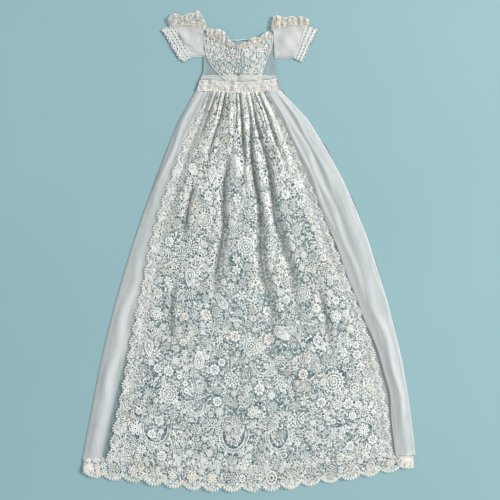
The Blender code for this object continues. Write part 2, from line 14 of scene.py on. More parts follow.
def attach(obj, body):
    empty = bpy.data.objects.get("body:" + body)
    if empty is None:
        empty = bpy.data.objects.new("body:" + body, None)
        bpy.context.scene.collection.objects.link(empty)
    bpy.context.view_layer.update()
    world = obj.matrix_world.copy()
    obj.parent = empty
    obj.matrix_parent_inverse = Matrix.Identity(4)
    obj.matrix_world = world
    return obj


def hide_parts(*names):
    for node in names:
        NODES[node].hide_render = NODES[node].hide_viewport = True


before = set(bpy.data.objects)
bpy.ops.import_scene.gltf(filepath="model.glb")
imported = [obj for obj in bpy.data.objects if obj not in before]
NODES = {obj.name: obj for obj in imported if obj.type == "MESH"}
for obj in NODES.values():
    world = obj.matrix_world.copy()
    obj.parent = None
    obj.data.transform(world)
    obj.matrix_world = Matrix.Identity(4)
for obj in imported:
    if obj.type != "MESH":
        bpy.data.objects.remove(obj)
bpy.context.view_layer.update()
MM = 0.001
TAU = 2 * math.pi

# Camera and light
CAMERA_HEIGHT = 2.715
CAMERA_LENS = 85.0
CAMERA_AIM = (0.0028, 0.004)
KEY_ELEVATION = 33.0
KEY_DISTANCE = 7.0
KEY_SIZE = 2.0
KEY_POWER = 545.0
FILL_STRENGTH = 0.55

# Cloth
SKIRT_LENGTH = 868.0        # flat length of the lace panel from waist to hem band, mm
WAIST_GATHER = 1.15         # extra flat width of the lace panel at the waist, as a share of its laid width
GATHER_REACH = 115.0        # how fast the gathering falls off down the skirt, mm
PANEL_EASE = 0.04
CORD_RADIUS = 0.0009
SHELL = 0.25
WAIST_MIDDLE = -20.0
CORD_BASE = (-0.0200, 0.3679)   # the middle of the waist seam, which the cord's route starts from

# The drawstring's route from the middle of the waist seam, as the CAD has it, in millimetres.
STRING = ((-34, 116), (-24, 118), (-13, 118), (-9, 118), (-5, 118), (6, 119.5), (18, 119.5), (31, 117.5))
STRING_HEIGHT = 2.4


# --- Reading the CAD -----------------------------------------------------------------------

def node_arrays(name):
    """A CAD node's vertices in millimetres and its edges."""
    mesh = NODES[name].data
    points = np.zeros(len(mesh.vertices) * 3)
    mesh.vertices.foreach_get("co", points)
    edges = np.zeros(len(mesh.edges) * 2, dtype=int)
    mesh.edges.foreach_get("vertices", edges)
    return points.reshape(-1, 3) / MM, edges.reshape(-1, 2)


def tree_of(names):
    vertices = []
    faces = []
    for name in names:
        mesh = NODES[name].data
        first = len(vertices)
        vertices += [vertex.co / MM for vertex in mesh.vertices]
        faces += [[first + index for index in polygon.vertices] for polygon in mesh.polygons]
    return BVHTree.FromPolygons(vertices, faces)


class Relief:
    """Height of the top of some CAD pieces anywhere in plan, with their facets smoothed away."""

    def __init__(self, names, step, blur, margin=12.0):
        tree = tree_of(names)
        points = np.vstack([node_arrays(name)[0] for name in names])
        self.low = points[:, :2].min(0) - margin
        self.step = step
        size = ((points[:, :2].max(0) + margin - self.low) / step).astype(int) + 2
        field = np.full(size, np.nan)
        for i in range(size[0]):
            for j in range(size[1]):
                place = Vector((self.low[0] + i * step, self.low[1] + j * step, 80.0))
                hit = tree.ray_cast(place, Vector((0, 0, -1)))[0]
                if hit is not None:
                    field[i, j] = hit.z
        self.field = self.smoothed(self.filled(field), blur)

    @staticmethod
    def shifted(field):
        padded = np.pad(field, 1, mode="edge")
        return [padded[1 + i:padded.shape[0] - 1 + i, 1 + j:padded.shape[1] - 1 + j]
                for i in (-1, 0, 1) for j in (-1, 0, 1) if i or j]

    def filled(self, field):
        while np.isnan(field).any():
            near = np.array(self.shifted(field))
            count = (~np.isnan(near)).sum(0)
            total = np.nansum(near, axis=0)
            grow = np.isnan(field) & (count > 0)
            field = np.where(grow, total / np.maximum(count, 1), field)
        return field

    def smoothed(self, field, times):
        for _ in range(times):
            field = 0.5 * field + 0.5 * np.mean(self.shifted(field), axis=0)
        return field

    def at(self, x, y):
        i = np.clip((x - self.low[0]) / self.step, 0, self.field.shape[0] - 1.001)
        j = np.clip((y - self.low[1]) / self.step, 0, self.field.shape[1] - 1.001)
        a = i.astype(int)
        b = j.astype(int)
        s = i - a
        t = j - b
        f = self.field
        return ((f[a, b] * (1 - s) + f[a + 1, b] * s) * (1 - t)
                + (f[a, b + 1] * (1 - s) + f[a + 1, b + 1] * s) * t)


class Sections:
    """The plan outline of a CAD node as two edges across a long axis at some angle."""

    def __init__(self, name, angle=0.0, count=260, inset=0.4):
        points, edges = node_arrays(name)
        self.axis = np.array((math.cos(math.radians(angle)), math.sin(math.radians(angle))))
        self.side = np.array((-self.axis[1], self.axis[0]))
        along = points[:, :2] @ self.axis
        across = points[:, :2] @ self.side
        self.start = along.min() + inset
        self.end = along.max() - inset
        self.places = np.linspace(self.start, self.end, count)
        a0 = along[edges[:, 0]][:, None]
        a1 = along[edges[:, 1]][:, None]
        c0 = across[edges[:, 0]][:, None]
        c1 = across[edges[:, 1]][:, None]
        place = self.places[None, :]
        crosses = (a0 - place) * (a1 - place) <= 0
        run = np.where(np.abs(a1 - a0) < 1e-9, 1e-9, a1 - a0)
        value = c0 + (c1 - c0) * np.clip((place - a0) / run, 0, 1)
        self.low = np.where(crosses, value, np.inf).min(0)
        self.high = np.where(crosses, value, -np.inf).max(0)
        self.length = self.end - self.start

    def edge(self, which, at):
        return np.interp(at, self.places, self.high if which > 0 else self.low)

    def plan(self, along, across):
        """Plan x and y of a place from 0 to 1 along, and 0 to 1 from the low edge to the high."""
        at = self.start + self.length * np.clip(along, 0, 1)
        low = self.edge(-1, at)
        high = self.edge(1, at)
        value = low + (high - low) * across
        return at * self.axis[0] + value * self.side[0], at * self.axis[1] + value * self.side[1]


def envelope(values, reach, pick):
    """The outline through a scalloped edge's tips: the extreme value near each place, smoothed."""
    padded = np.pad(values, reach, mode="edge")
    out = np.array([pick(padded[i:i + 2 * reach + 1]) for i in range(len(values))])
    kernel = np.ones(2 * reach + 1) / (2 * reach + 1)
    return np.convolve(np.pad(out, reach, mode="edge"), kernel, mode="valid")


# --- Materials -----------------------------------------------------------------------------

class Graph:
    """Small helper for building a node material."""

    def __init__(self, name, roughness, sheen):
        self.material = bpy.data.materials.new(name)
        self.material.use_nodes = True
        self.tree = self.material.node_tree
        self.shader = self.tree.nodes["Principled BSDF"]
        self.shader.inputs["Roughness"].default_value = roughness
        self.shader.inputs["Sheen Weight"].default_value = sheen
        self.shader.inputs["Sheen Roughness"].default_value = 0.5
        self.shader.inputs["IOR"].default_value = 1.4
        self.place = self.add("ShaderNodeTexCoord").outputs["Object"]

    def add(self, kind, **settings):
        node = self.tree.nodes.new(kind)
        for key, value in settings.items():
            setattr(node, key, value)
        return node

    def link(self, value, socket):
        if hasattr(value, "is_output"):
            self.tree.links.new(value, socket)
        else:
            socket.default_value = value

    def math(self, operation, first, second=0.0, third=0.0, clamp=False):
        node = self.add("ShaderNodeMath", operation=operation, use_clamp=clamp)
        for value, socket in zip((first, second, third), node.inputs):
            self.link(value, socket)
        return node.outputs[0]

    def warped(self, drift, reach):
        """Object coordinates pushed about by a noise, so that cells made from them wander."""
        node = self.add("ShaderNodeVectorMath", operation="MULTIPLY_ADD")
        self.link(drift, node.inputs[0])
        node.inputs[1].default_value = (reach, -reach, 0.0)
        self.link(self.scaled(1, 1), node.inputs[2])
        return node.outputs[0]

    def scaled(self, x, y, z=1.0, turn=0.0):
        node = self.add("ShaderNodeMapping")
        self.link(self.place, node.inputs["Vector"])
        node.inputs["Scale"].default_value = (x, y, z)
        node.inputs["Rotation"].default_value = (0.0, 0.0, turn)
        return node.outputs[0]

    def noise(self, vector, scale, detail=2.0, rough=0.5):
        node = self.add("ShaderNodeTexNoise")
        self.link(vector, node.inputs["Vector"])
        node.inputs["Scale"].default_value = scale
        node.inputs["Detail"].default_value = detail
        node.inputs["Roughness"].default_value = rough
        return node.outputs["Fac"]

    def wave(self, vector, scale, direction, distortion=0.0):
        node = self.add("ShaderNodeTexWave", wave_type="BANDS", bands_direction=direction)
        self.link(vector, node.inputs["Vector"])
        node.inputs["Scale"].default_value = scale
        node.inputs["Distortion"].default_value = distortion
        node.inputs["Detail Scale"].default_value = 2.0
        return node.outputs["Fac"]

    def cells(self, vector, scale, feature):
        node = self.add("ShaderNodeTexVoronoi", feature=feature)
        self.link(vector, node.inputs["Vector"])
        node.inputs["Scale"].default_value = scale
        return node.outputs["Distance"]

    def ramp(self, factor, *stops):
        node = self.add("ShaderNodeValToRGB")
        self.link(factor, node.inputs["Fac"])
        elements = node.color_ramp.elements
        for stop in stops[2:]:
            elements.new(stop[0])
        for element, (position, colour) in zip(elements, stops):
            element.position = position
            element.color = colour + (1.0,)
        return node.outputs["Color"]

    def mixed(self, factor, first, second, blend="MIX"):
        node = self.add("ShaderNodeMix", data_type="RGBA", blend_type=blend)
        self.link(factor, node.inputs[0])
        for value, socket in ((first, node.inputs[6]), (second, node.inputs[7])):
            self.link(value + (1.0,) if isinstance(value, tuple) else value, socket)
        return node.outputs[2]

    def attribute(self, name):
        return self.add("ShaderNodeAttribute", attribute_name=name).outputs["Fac"]

    def bump(self, height, strength, distance):
        node = self.add("ShaderNodeBump")
        self.link(height, node.inputs["Height"])
        node.inputs["Strength"].default_value = strength
        node.inputs["Distance"].default_value = distance
        self.link(node.outputs["Normal"], self.shader.inputs["Normal"])

    def colour(self, value):
        self.link(value + (1.0,) if isinstance(value, tuple) else value, self.shader.inputs["Base Color"])

    def alpha(self, value):
        self.link(value, self.shader.inputs["Alpha"])


PAINTED_CREASE_SHADE = (0.135, 0.125, 0.095)   # painted shade mixed into the creases of the lace
WEAVE_PITCH = 2600.0        # waves per metre of the muslin's weave, in the wave texture's own unit


def muslin_material(name, sheer, tint, weave=WEAVE_PITCH):
    """Fine plain weave: two crossed sets of uneven threads, more open between them."""
    g = Graph(name, 0.85, 0.25)
    warp = g.wave(g.scaled(1, 1), weave / 10, "X", 0.6)
    weft = g.wave(g.scaled(1, 1), weave / 10, "Y", 0.6)
    threads = g.math("MAXIMUM", warp, weft)
    slub = g.noise(g.scaled(1.0, 0.08), 420.0, 3.0, 0.6)
    cloudy = g.noise(g.scaled(1.0, 0.5), 22.0, 3.0, 0.6)
    base = g.ramp(cloudy, (0.25, tint), (0.75, tuple(min(1.0, c * 1.07) for c in tint)))
    dense = g.attribute("dense")
    g.colour(g.mixed(g.math("MULTIPLY", slub, 0.25), base, g.mixed(1.0, base, (1.0, 1.0, 1.0), "SCREEN")))
    body = g.math("ADD", g.math("MULTIPLY", threads, 0.30), sheer - 0.20)
    uneven = g.math("MULTIPLY_ADD", slub, 0.16, g.math("MULTIPLY_ADD", cloudy, 0.18, -0.17))
    g.alpha(g.math("ADD", g.math("ADD", body, uneven), dense, clamp=True))
    g.bump(g.math("ADD", threads, g.math("MULTIPLY", slub, 0.8)), 0.35, 0.0003)
    return g.material


def lace_material(name, light, shade, patch, stitch=1150.0):
    """Close needle stitches: rows of small knots, a little darker between, with cream patches."""
    g = Graph(name, 0.8, 0.3)
    knots = g.cells(g.scaled(1, 1.35), stitch, "F1")
    rows = g.wave(g.scaled(1, 1, 1, 0.5), 95.0, "X", 3.0)
    cloudy = g.noise(g.scaled(1, 1), 9.0, 3.0, 0.6)
    fine = g.noise(g.scaled(1, 1), 130.0, 2.0, 0.6)
    tone = g.math("MULTIPLY_ADD", knots, -0.55, g.math("MULTIPLY_ADD", fine, 0.7, 0.55), clamp=True)
    base = g.ramp(tone, (0.30, shade), (0.85, light))
    creamy = g.ramp(cloudy, (0.52, (0, 0, 0)), (0.68, (1, 1, 1)))
    cream = g.math("MULTIPLY_ADD", creamy, 0.45, g.math("MULTIPLY", g.attribute("tint"), 0.75), clamp=True)
    dyed = g.mixed(cream, base, g.mixed(1.0, base, patch, "MULTIPLY"))
    # The fold attribute mixes painted crease shade into the thread colour.
    g.colour(g.mixed(g.math("MULTIPLY", g.attribute("fold"), 0.88), dyed, PAINTED_CREASE_SHADE))
    height = g.math("ADD", g.math("MULTIPLY", knots, -1.0), g.math("MULTIPLY", rows, 0.35))
    g.bump(height, 0.6, 0.0006)
    return g.material


def net_material(name, tint, shade, cell=184.0):
    """Needle-made ground: close worked bars round small uneven holes, the holes left clear."""
    g = Graph(name, 0.85, 0.2)
    drift = g.noise(g.scaled(1, 1), 90.0, 2.0)
    web = g.cells(g.warped(drift, 0.009), cell, "DISTANCE_TO_EDGE")
    patchy = g.noise(g.scaled(1, 1), 34.0, 3.0, 0.6)
    fine = g.noise(g.scaled(1, 1), 700.0, 2.0, 0.6)
    limit = g.math("ADD", g.math("MULTIPLY_ADD", patchy, 0.38, -0.112),
                   g.math("MULTIPLY", g.attribute("dense"), 0.22))
    worked = g.mixed(fine, shade, tint)
    # The fold attribute mixes painted crease shade into the ground colour.
    g.colour(g.mixed(g.math("MULTIPLY", g.attribute("fold"), 0.88), worked, PAINTED_CREASE_SHADE))
    g.alpha(g.math("LESS_THAN", web, limit))
    g.bump(g.math("ADD", g.math("MULTIPLY", web, -2.0), g.math("MULTIPLY", fine, 0.5)), 0.5, 0.0006)
    return g.material


def floor_material():
    g = Graph("floor", 0.9, 0.0)
    soft = g.noise(g.scaled(1, 1), 1.6, 3.0)
    weave = g.noise(g.scaled(1, 1), 900.0, 2.0)
    base = g.ramp(soft, (0.3, (0.265, 0.435, 0.475)), (0.7, (0.285, 0.455, 0.495)))
    g.colour(g.mixed(g.math("MULTIPLY", weave, 0.10), base, (0.36, 0.53, 0.56)))
    g.bump(weave, 0.15, 0.0004)
    return g.material


# --- Stage ---------------------------------------------------------------------------------

def make_stage():
    camera = bpy.data.objects.new("camera", bpy.data.cameras.new("camera"))
    bpy.context.scene.collection.objects.link(camera)
    camera.data.lens = CAMERA_LENS
    camera.data.sensor_width = 36.0
    camera.data.dof.use_dof = False
    camera.location = (*CAMERA_AIM, CAMERA_HEIGHT)
    bpy.context.scene.camera = camera
    bpy.context.scene.view_settings.view_transform = "Standard"
    mesh = bpy.data.meshes.new("floor")
    reach = 6.0
    mesh.from_pydata([(-reach, -reach, 0), (reach, -reach, 0), (reach, reach, 0), (-reach, reach, 0)],
                     [], [(0, 1, 2, 3)])
    floor = bpy.data.objects.new("floor", mesh)
    floor.location.z = -0.0004
    floor.data.materials.append(floor_material())
    key = bpy.data.objects.new("key", bpy.data.lights.new("key", "AREA"))
    key.data.shape = "DISK"
    key.data.size = KEY_SIZE
    key.data.energy = KEY_POWER
    key.data.color = (1.0, 0.975, 0.94)
    tilt = math.radians(KEY_ELEVATION)
    swing = math.radians(18.0)
    key.location = (KEY_DISTANCE * math.cos(tilt) * math.cos(swing),
                    KEY_DISTANCE * math.cos(tilt) * math.sin(swing), KEY_DISTANCE * math.sin(tilt))
    key.rotation_mode = "QUATERNION"
    key.rotation_quaternion = Vector(key.location).to_track_quat("Z", "Y")
    for thing in (floor, key):
        bpy.context.scene.collection.objects.link(thing)
    world = bpy.data.worlds.new("studio")
    world.use_nodes = True
    background = world.node_tree.nodes["Background"]
    background.inputs["Color"].default_value = (0.95, 0.98, 1.0, 1.0)
    background.inputs["Strength"].default_value = FILL_STRENGTH
    bpy.context.scene.world = world


# --- Small shapes of arrays ----------------------------------------------------------------

def smooth(value):
    value = np.clip(value, 0.0, 1.0)
    return value * value * (3.0 - 2.0 * value)


def bell(distance, width):
    """A soft ridge: 1 at its crest, 0 from width away."""
    return np.where(np.abs(distance) < width, 0.5 + 0.5 * np.cos(math.pi * distance / width), 0.0)


def made(name, vertices, faces, material, body=True, **attributes):
    """A smooth mesh object from millimetre vertices, with one float per vertex for each attribute."""
    mesh = bpy.data.meshes.new(name)
    mesh.from_pydata((np.asarray(vertices) * MM).tolist(), [], faces)
    mesh.polygons.foreach_set("use_smooth", np.ones(len(mesh.polygons), dtype=bool))
    for key, values in attributes.items():
        layer = mesh.attributes.new(key, "FLOAT", "POINT")
        layer.data.foreach_set("value", np.asarray(values, dtype=np.float32))
    mesh.update()
    thing = bpy.data.objects.new(name, mesh)
    bpy.context.scene.collection.objects.link(thing)
    mesh.materials.append(material)
    if body:
        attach(thing, "root")
    return thing


def grid_faces(rows, columns):
    index = np.arange(rows * columns).reshape(rows, columns)
    quads = np.stack([index[:-1, :-1], index[:-1, 1:], index[1:, 1:], index[1:, :-1]], axis=-1)
    return quads.reshape(-1, 4).tolist()


def cloth(name, plan, rows, columns, height, material, dense=None, under=None, fold=None):
    """A sheet over plan(along, across); height takes along, across, x and y. With a material for
    its under side it is a closed shell."""
    along, across = np.meshgrid(np.linspace(0, 1, rows), np.linspace(0, 1, columns), indexing="ij")
    x, y = plan(along, across)
    z = height(along, across, x, y)
    thickness = np.zeros_like(x) if dense is None else dense(along, across, x, y)
    # fold gives each vertex its painted crease shade, stored as the fold attribute.
    shade = np.zeros_like(x) if fold is None else fold(along, across)
    points = np.stack([x, y, z], axis=-1).reshape(-1, 3)
    faces = grid_faces(rows, columns)
    first = points[faces[0]]
    normal = np.cross(first[1] - first[0], first[2] - first[0])
    if normal[2] < 0:
        faces = [face[::-1] for face in faces]
    if under is None:
        return made(name, points, faces, material, dense=thickness.reshape(-1), fold=shade.reshape(-1))
    count = rows * columns
    rim = np.concatenate([np.arange(columns), np.arange(1, rows) * columns + columns - 1,
                          (rows - 1) * columns + np.arange(columns - 2, -1, -1),
                          np.arange(rows - 2, 0, -1) * columns])
    turn = 1 if normal[2] < 0 else -1
    walls = [[int(a), int(b), int(b) + count, int(a) + count][::-turn]
             for a, b in zip(rim, np.roll(rim, -1))]
    shell = np.vstack([points, points - (0, 0, SHELL)])
    lower = [[v + count for v in face[::-1]] for face in faces]
    thing = made(name, shell, faces + lower + walls, material, dense=np.tile(thickness.reshape(-1), 2))
    thing.data.materials.append(under)
    slots = np.zeros(len(thing.data.polygons), dtype=np.int32)
    slots[len(faces):] = 1
    thing.data.polygons.foreach_set("material_index", slots)
    return thing


# --- Drawing lace --------------------------------------------------------------------------

class Threads:
    """Collects ribbons and filled shapes in flat lace coordinates: across, along and height, mm."""

    def __init__(self):
        self.points = []
        self.faces = []
        self.tints = []
        self.count = 0
        self.tint = 0.0

    def add(self, points, faces):
        self.points.append(points)
        self.tints.append(np.full(len(points), self.tint))
        self.faces.append(np.where(faces < 0, -1, faces + self.count))
        self.count += len(points)

    def arrays(self):
        return np.vstack(self.points), np.vstack(self.faces)

    def shades(self):
        return np.concatenate(self.tints)

    def ribbon(self, line, width, height, rise=0.0, closed=False, taper=0.0):
        """A cord on a line: low at both edges and round in the middle."""
        line = np.asarray(line, dtype=float)
        if closed:
            ahead = np.roll(line, -1, axis=0) - np.roll(line, 1, axis=0)
        else:
            ahead = np.gradient(line, axis=0)
        ahead /= np.maximum(np.linalg.norm(ahead, axis=1, keepdims=True), 1e-9)
        side = np.stack([-ahead[:, 1], ahead[:, 0]], axis=1)
        half = np.full(len(line), width / 2)
        if taper:
            half *= 1.0 - taper * np.linspace(0, 1, len(line))
        half = half[:, None]
        top = np.full((len(line), 1), rise + height)
        low = np.full((len(line), 1), rise)
        points = np.concatenate([np.hstack([line + side * half, low]), np.hstack([line, top]),
                                 np.hstack([line - side * half, low])])
        n = len(line)
        here = np.arange(n if closed else n - 1)
        following = (here + 1) % n
        lower = np.stack([here, here + n, following + n, following], axis=1)
        upper = np.stack([here + n, here + 2 * n, following + 2 * n, following + n], axis=1)
        faces = np.concatenate([lower, upper])
        self.add(points, faces)

    def filled(self, outline, rim, middle, centre=None):
        """A closed shape filled from its middle."""
        outline = np.asarray(outline, dtype=float)
        centre = outline.mean(0) if centre is None else np.asarray(centre, dtype=float)
        n = len(outline)
        points = np.vstack([np.hstack([outline, np.full((n, 1), rim)]), [[*centre, middle]]])
        here = np.arange(n)
        faces = np.stack([np.full(n, n), here, (here + 1) % n, np.full(n, -1)], axis=1)
        self.add(points, faces)


def circle(radius, count, centre=(0.0, 0.0), turn=0.0, squash=1.0):
    angle = np.linspace(0, TAU, count, endpoint=False) + turn
    return np.stack([centre[0] + radius * np.cos(angle),
                     centre[1] + radius * squash * np.sin(angle)], axis=1)


def petal_line(start, end, spread, angle, count, blunt=1.0):
    """A petal's closed outline from its root to its round tip, pointing along angle."""
    turn = np.linspace(0, TAU, count, endpoint=False)
    reach = 0.5 - 0.5 * np.cos(turn)
    out = start + (end - start) * reach
    wide = spread * np.sin(turn) * (0.55 + 0.45 * reach ** blunt)
    return np.stack([out * math.cos(angle) - wide * math.sin(angle),
                     out * math.sin(angle) + wide * math.cos(angle)], axis=1)


def bloom(petals=6, cord=0.2):
    """A flower 1 across its radius: open corded petals, apart, round a ringed centre."""
    t = Threads()
    spread = 1.62 / petals
    for number in range(petals):
        t.ribbon(petal_line(0.36, 0.92, spread, TAU * number / petals, 10), cord, 0.55, 0.2, closed=True)
    t.ribbon(circle(0.22, 9), cord, 0.6, 0.3, closed=True)
    return t.arrays()


def plump(petals=5, spread=1.62):
    """A flower of filled petals, apart, with a knotted middle."""
    t = Threads()
    for number in range(petals):
        t.filled(petal_line(0.24, 1.0, spread / petals, TAU * number / petals, 8), 0.15, 0.8)
    t.ribbon(circle(0.17, 7), 0.13, 0.6, 0.4, closed=True)
    return t.arrays()


def double_bloom(petals=8):
    """A large flower: filled inner petals inside open outer ones."""
    t = Threads()
    for number in range(petals):
        petal = petal_line(0.55, 0.94, 1.5 / petals, TAU * number / petals, 10)
        t.ribbon(petal, 0.10, 0.5, 0.2, closed=True)
    for number in range(6):
        t.filled(petal_line(0.2, 0.50, 0.125, TAU * (number + 0.3) / 6, 8), 0.3, 0.9)
    t.ribbon(circle(0.14, 8), 0.09, 0.5, 0.5, closed=True)
    return t.arrays()


def ring(inner=0.36):
    t = Threads()
    t.ribbon(circle((1 + inner) / 2, 10), 1 - inner, 0.65, 0.2, closed=True)
    return t.arrays()


def wheel(spokes=9):
    """A corded rim joined to a small ring by spokes."""
    t = Threads()
    t.ribbon(circle(0.88, 16), 0.22, 0.6, 0.25, closed=True)
    t.ribbon(circle(0.34, 9), 0.2, 0.55, 0.3, closed=True)
    for number in range(spokes):
        out = np.array((math.cos(TAU * number / spokes), math.sin(TAU * number / spokes)))
        t.ribbon([out * 0.42, out * 0.8], 0.13, 0.3, 0.2)
    return t.arrays()


def medallion(rounds=3):
    """Concentric corded rings with bars between, and a rim of small rounds."""
    t = Threads()
    for number in range(rounds):
        radius = 0.84 - number * 0.27
        t.ribbon(circle(radius, 22 - 5 * number), 0.10, 0.6, 0.3, closed=True)
        if number < rounds - 1:
            spokes = 18 - 6 * number
            for spoke in range(spokes):
                out = np.array((math.cos(TAU * spoke / spokes), math.sin(TAU * spoke / spokes)))
                t.ribbon([out * (radius - 0.23), out * (radius - 0.04)], 0.055, 0.2, 0.2)
    for number in range(15):
        angle = TAU * number / 15
        t.filled(circle(0.09, 6, (math.cos(angle) * 0.98, math.sin(angle) * 0.98)), 0.2, 0.7)
    t.filled(circle(0.14, 8), 0.4, 1.0)
    return t.arrays()


def dome():
    """A close flower of three rounds of petals that rise to its middle."""
    t = Threads()
    rounds = ((0.70, 1.0, 12, 0.1), (0.40, 0.66, 8, 0.4), (0.1, 0.34, 5, 0.7))
    for ring_number, (near, far, petals, rise) in enumerate(rounds):
        spread = 0.84 * math.pi * (near + far) / 2 / petals
        for number in range(petals):
            angle = TAU * (number + 0.5 * ring_number) / petals
            t.filled(petal_line(near, far, spread, angle, 8), rise, rise + 0.8)
    return t.arrays()


def wreath():
    """A ring of rounds about an open middle with a small ring in it."""
    t = Threads()
    for number in range(8):
        angle = TAU * number / 8
        t.filled(circle(0.27, 7, (math.cos(angle) * 0.72, math.sin(angle) * 0.72)), 0.15, 0.85)
    t.ribbon(circle(0.30, 9), 0.17, 0.6, 0.2, closed=True)
    return t.arrays()


def leaf(filled=True):
    """A leaf 2 long with a corded outline and a raised midrib."""
    t = Threads()
    at = np.linspace(0, 1, 8)
    wide = 0.36 * np.sin(math.pi * at ** 0.8)
    outline = np.vstack([np.stack([at * 1.9 - 0.95, wide], axis=1),
                         np.stack([at * 1.9 - 0.95, -wide], axis=1)[-2:0:-1]])
    if filled:
        t.filled(outline, 0.2, 0.5)
        t.ribbon([(-0.9, 0.0), (0.0, 0.03), (0.85, 0.0)], 0.12, 0.4, 0.5)
    else:
        t.ribbon([(-0.95, 0.0), (0.0, 0.03), (0.85, 0.0)], 0.15, 0.4, 0.2)
        t.ribbon(outline, 0.17, 0.5, 0.2, closed=True)
    return t.arrays()


def spray():
    """A stem with paired filled leaflets."""
    t = Threads()
    at = np.linspace(-0.95, 0.95, 7)
    stem = np.stack([at, 0.14 * np.sin(at * 2.6)], axis=1)
    t.ribbon(stem, 0.14, 0.4, 0.2)
    for index in range(1, 7):
        for side in (-1, 1):
            t.filled(petal_line(0.08, 0.5, 0.085, side * 1.0, 7) + stem[index], 0.2, 0.7)
    return t.arrays()


def paisley():
    """A curled drop: corded outline, an inner cord joined to it by bars, and a filled heart."""
    t = Threads()
    turn = np.linspace(0, TAU, 20, endpoint=False)
    reach = 0.5 - 0.5 * np.cos(turn)
    x = -0.6 * np.sin(turn) * (0.25 + 0.75 * (1 - reach) ** 0.6) + 0.42 * reach ** 2.2
    outline = np.stack([x, -0.9 + 1.8 * reach], axis=1)
    middle = np.array((0.03, -0.3))
    t.ribbon(outline, 0.14, 0.6, 0.3, closed=True)
    t.ribbon(middle + (outline - middle) * 0.58, 0.09, 0.4, 0.3, closed=True)
    for point in outline:
        t.ribbon([middle + (point - middle) * 0.6, middle + (point - middle) * 0.93], 0.05, 0.2, 0.2)
    t.filled(middle + (outline - middle) * 0.3, 0.3, 0.9)
    return t.arrays()


def curl(turns=1.1, width=0.3):
    """A scroll that winds in to a worked bud."""
    t = Threads()
    turn = np.linspace(0, TAU * turns, 13)
    radius = 0.86 - 0.56 * turn / turn[-1]
    line = np.stack([radius * np.cos(turn), radius * np.sin(turn)], axis=1)
    t.ribbon(line, width, 0.6, 0.2, taper=0.3)
    t.filled(circle(0.2, 6, line[-1] * 0.4), 0.3, 0.9)
    return t.arrays()


def hook(sweep=3.9, width=0.56):
    """A short bowed stroke."""
    t = Threads()
    turn = np.linspace(-sweep / 2, sweep / 2, 7)
    t.ribbon(np.stack([0.76 * np.cos(turn) - 0.1, 0.76 * np.sin(turn)], axis=1), width, 0.7, 0.2)
    return t.arrays()


def bend(width=0.52):
    """A short S-shaped stroke."""
    t = Threads()
    at = np.linspace(-1, 1, 8)
    t.ribbon(np.stack([at * 0.85, 0.42 * np.sin(at * 3.3)], axis=1), width, 0.7, 0.2)
    return t.arrays()


def trefoil():
    """Three rounds on a short stem."""
    t = Threads()
    for number in range(3):
        angle = TAU * number / 3
        t.filled(circle(0.47, 6, (math.cos(angle) * 0.52, math.sin(angle) * 0.52)), 0.15, 0.85)
    return t.arrays()


def bud():
    t = Threads()
    t.filled(petal_line(-0.95, 0.95, 0.55, 0.0, 7), 0.15, 0.85)
    return t.arrays()


SHAPES = {
    "bloom5": bloom(5, 0.23), "bloom6": bloom(6), "bloom7": bloom(7, 0.18), "double": double_bloom(),
    "plump4": plump(4), "plump5": plump(5), "plump6": plump(6), "ring": ring(), "wheel": wheel(),
    "dome": dome(), "eyelet": ring(0.56), "wreath": wreath(), "medallion": medallion(),
    "leaf": leaf(), "open_leaf": leaf(False),
    "spray": spray(), "paisley": paisley(), "curl": curl(), "hook": hook(), "wide_hook": hook(2.6, 0.7),
    "bend": bend(), "trefoil": trefoil(), "bud": bud(),
}


def stamp(target, shape, across, along, size, turn=0.0, stretch=1.0, lift=0.0, thick=1.0):
    """Puts a shape down with its radius in millimetres."""
    points, faces = SHAPES[shape]
    c, s = math.cos(turn), math.sin(turn)
    x = points[:, 0] * size
    y = points[:, 1] * size * stretch
    z = points[:, 2] * thick + lift
    target.add(np.stack([across + x * c - y * s, along + x * s + y * c, z], axis=1), faces)


class Field:
    """Which places of a piece of lace are taken, on a millimetre grid, for packing motifs."""

    def __init__(self, low, high, inside, step=1.0):
        self.low = np.array(low, dtype=float)
        self.step = step
        size = ((np.array(high) - self.low) / step).astype(int) + 1
        grid = np.meshgrid(*[self.low[k] + step * np.arange(size[k]) for k in (0, 1)], indexing="ij")
        self.x, self.y = grid
        self.free = inside(self.x, self.y)

    def window(self, x, y, radius):
        i = int((x - self.low[0]) / self.step)
        j = int((y - self.low[1]) / self.step)
        r = int(radius / self.step) + 1
        return (slice(max(i - r, 0), max(i + r + 1, 0)), slice(max(j - r, 0), max(j + r + 1, 0)))

    def fits(self, x, y, radius):
        w = self.window(x, y, radius)
        near = (self.x[w] - x) ** 2 + (self.y[w] - y) ** 2 <= radius * radius
        return near.any() and self.free[w][near].all()

    def take(self, x, y, radius):
        w = self.window(x, y, radius)
        self.free[w] &= (self.x[w] - x) ** 2 + (self.y[w] - y) ** 2 > radius * radius


Sort = namedtuple("Sort", "radius tries shapes gap stretch")


def pack(field, sorts, rng, target, centres, keep=lambda x, y, radius: True, thick=1.0):
    """Throws motifs at free places, the largest first, and draws each where it fits."""
    for sort in sorts:
        open_places = np.argwhere(field.free)
        if len(open_places) == 0:
            continue
        for _ in range(sort.tries):
            i, j = open_places[rng.randrange(len(open_places))]
            if not field.free[i, j]:
                continue
            x = field.x[i, j] + rng.uniform(-0.5, 0.5)
            y = field.y[i, j] + rng.uniform(-0.5, 0.5)
            radius = sort.radius * rng.uniform(0.88, 1.12)
            if not field.fits(x, y, radius) or not keep(x, y, radius):
                continue
            field.take(x, y, radius + sort.gap)
            target.tint = rng.random() ** 3
            stamp(target, rng.choice(sort.shapes), x, y, radius, rng.uniform(0, TAU), sort.stretch,
                  rng.uniform(0.0, 0.25), thick)
            centres.append((x, y, radius))
    target.tint = 0.0


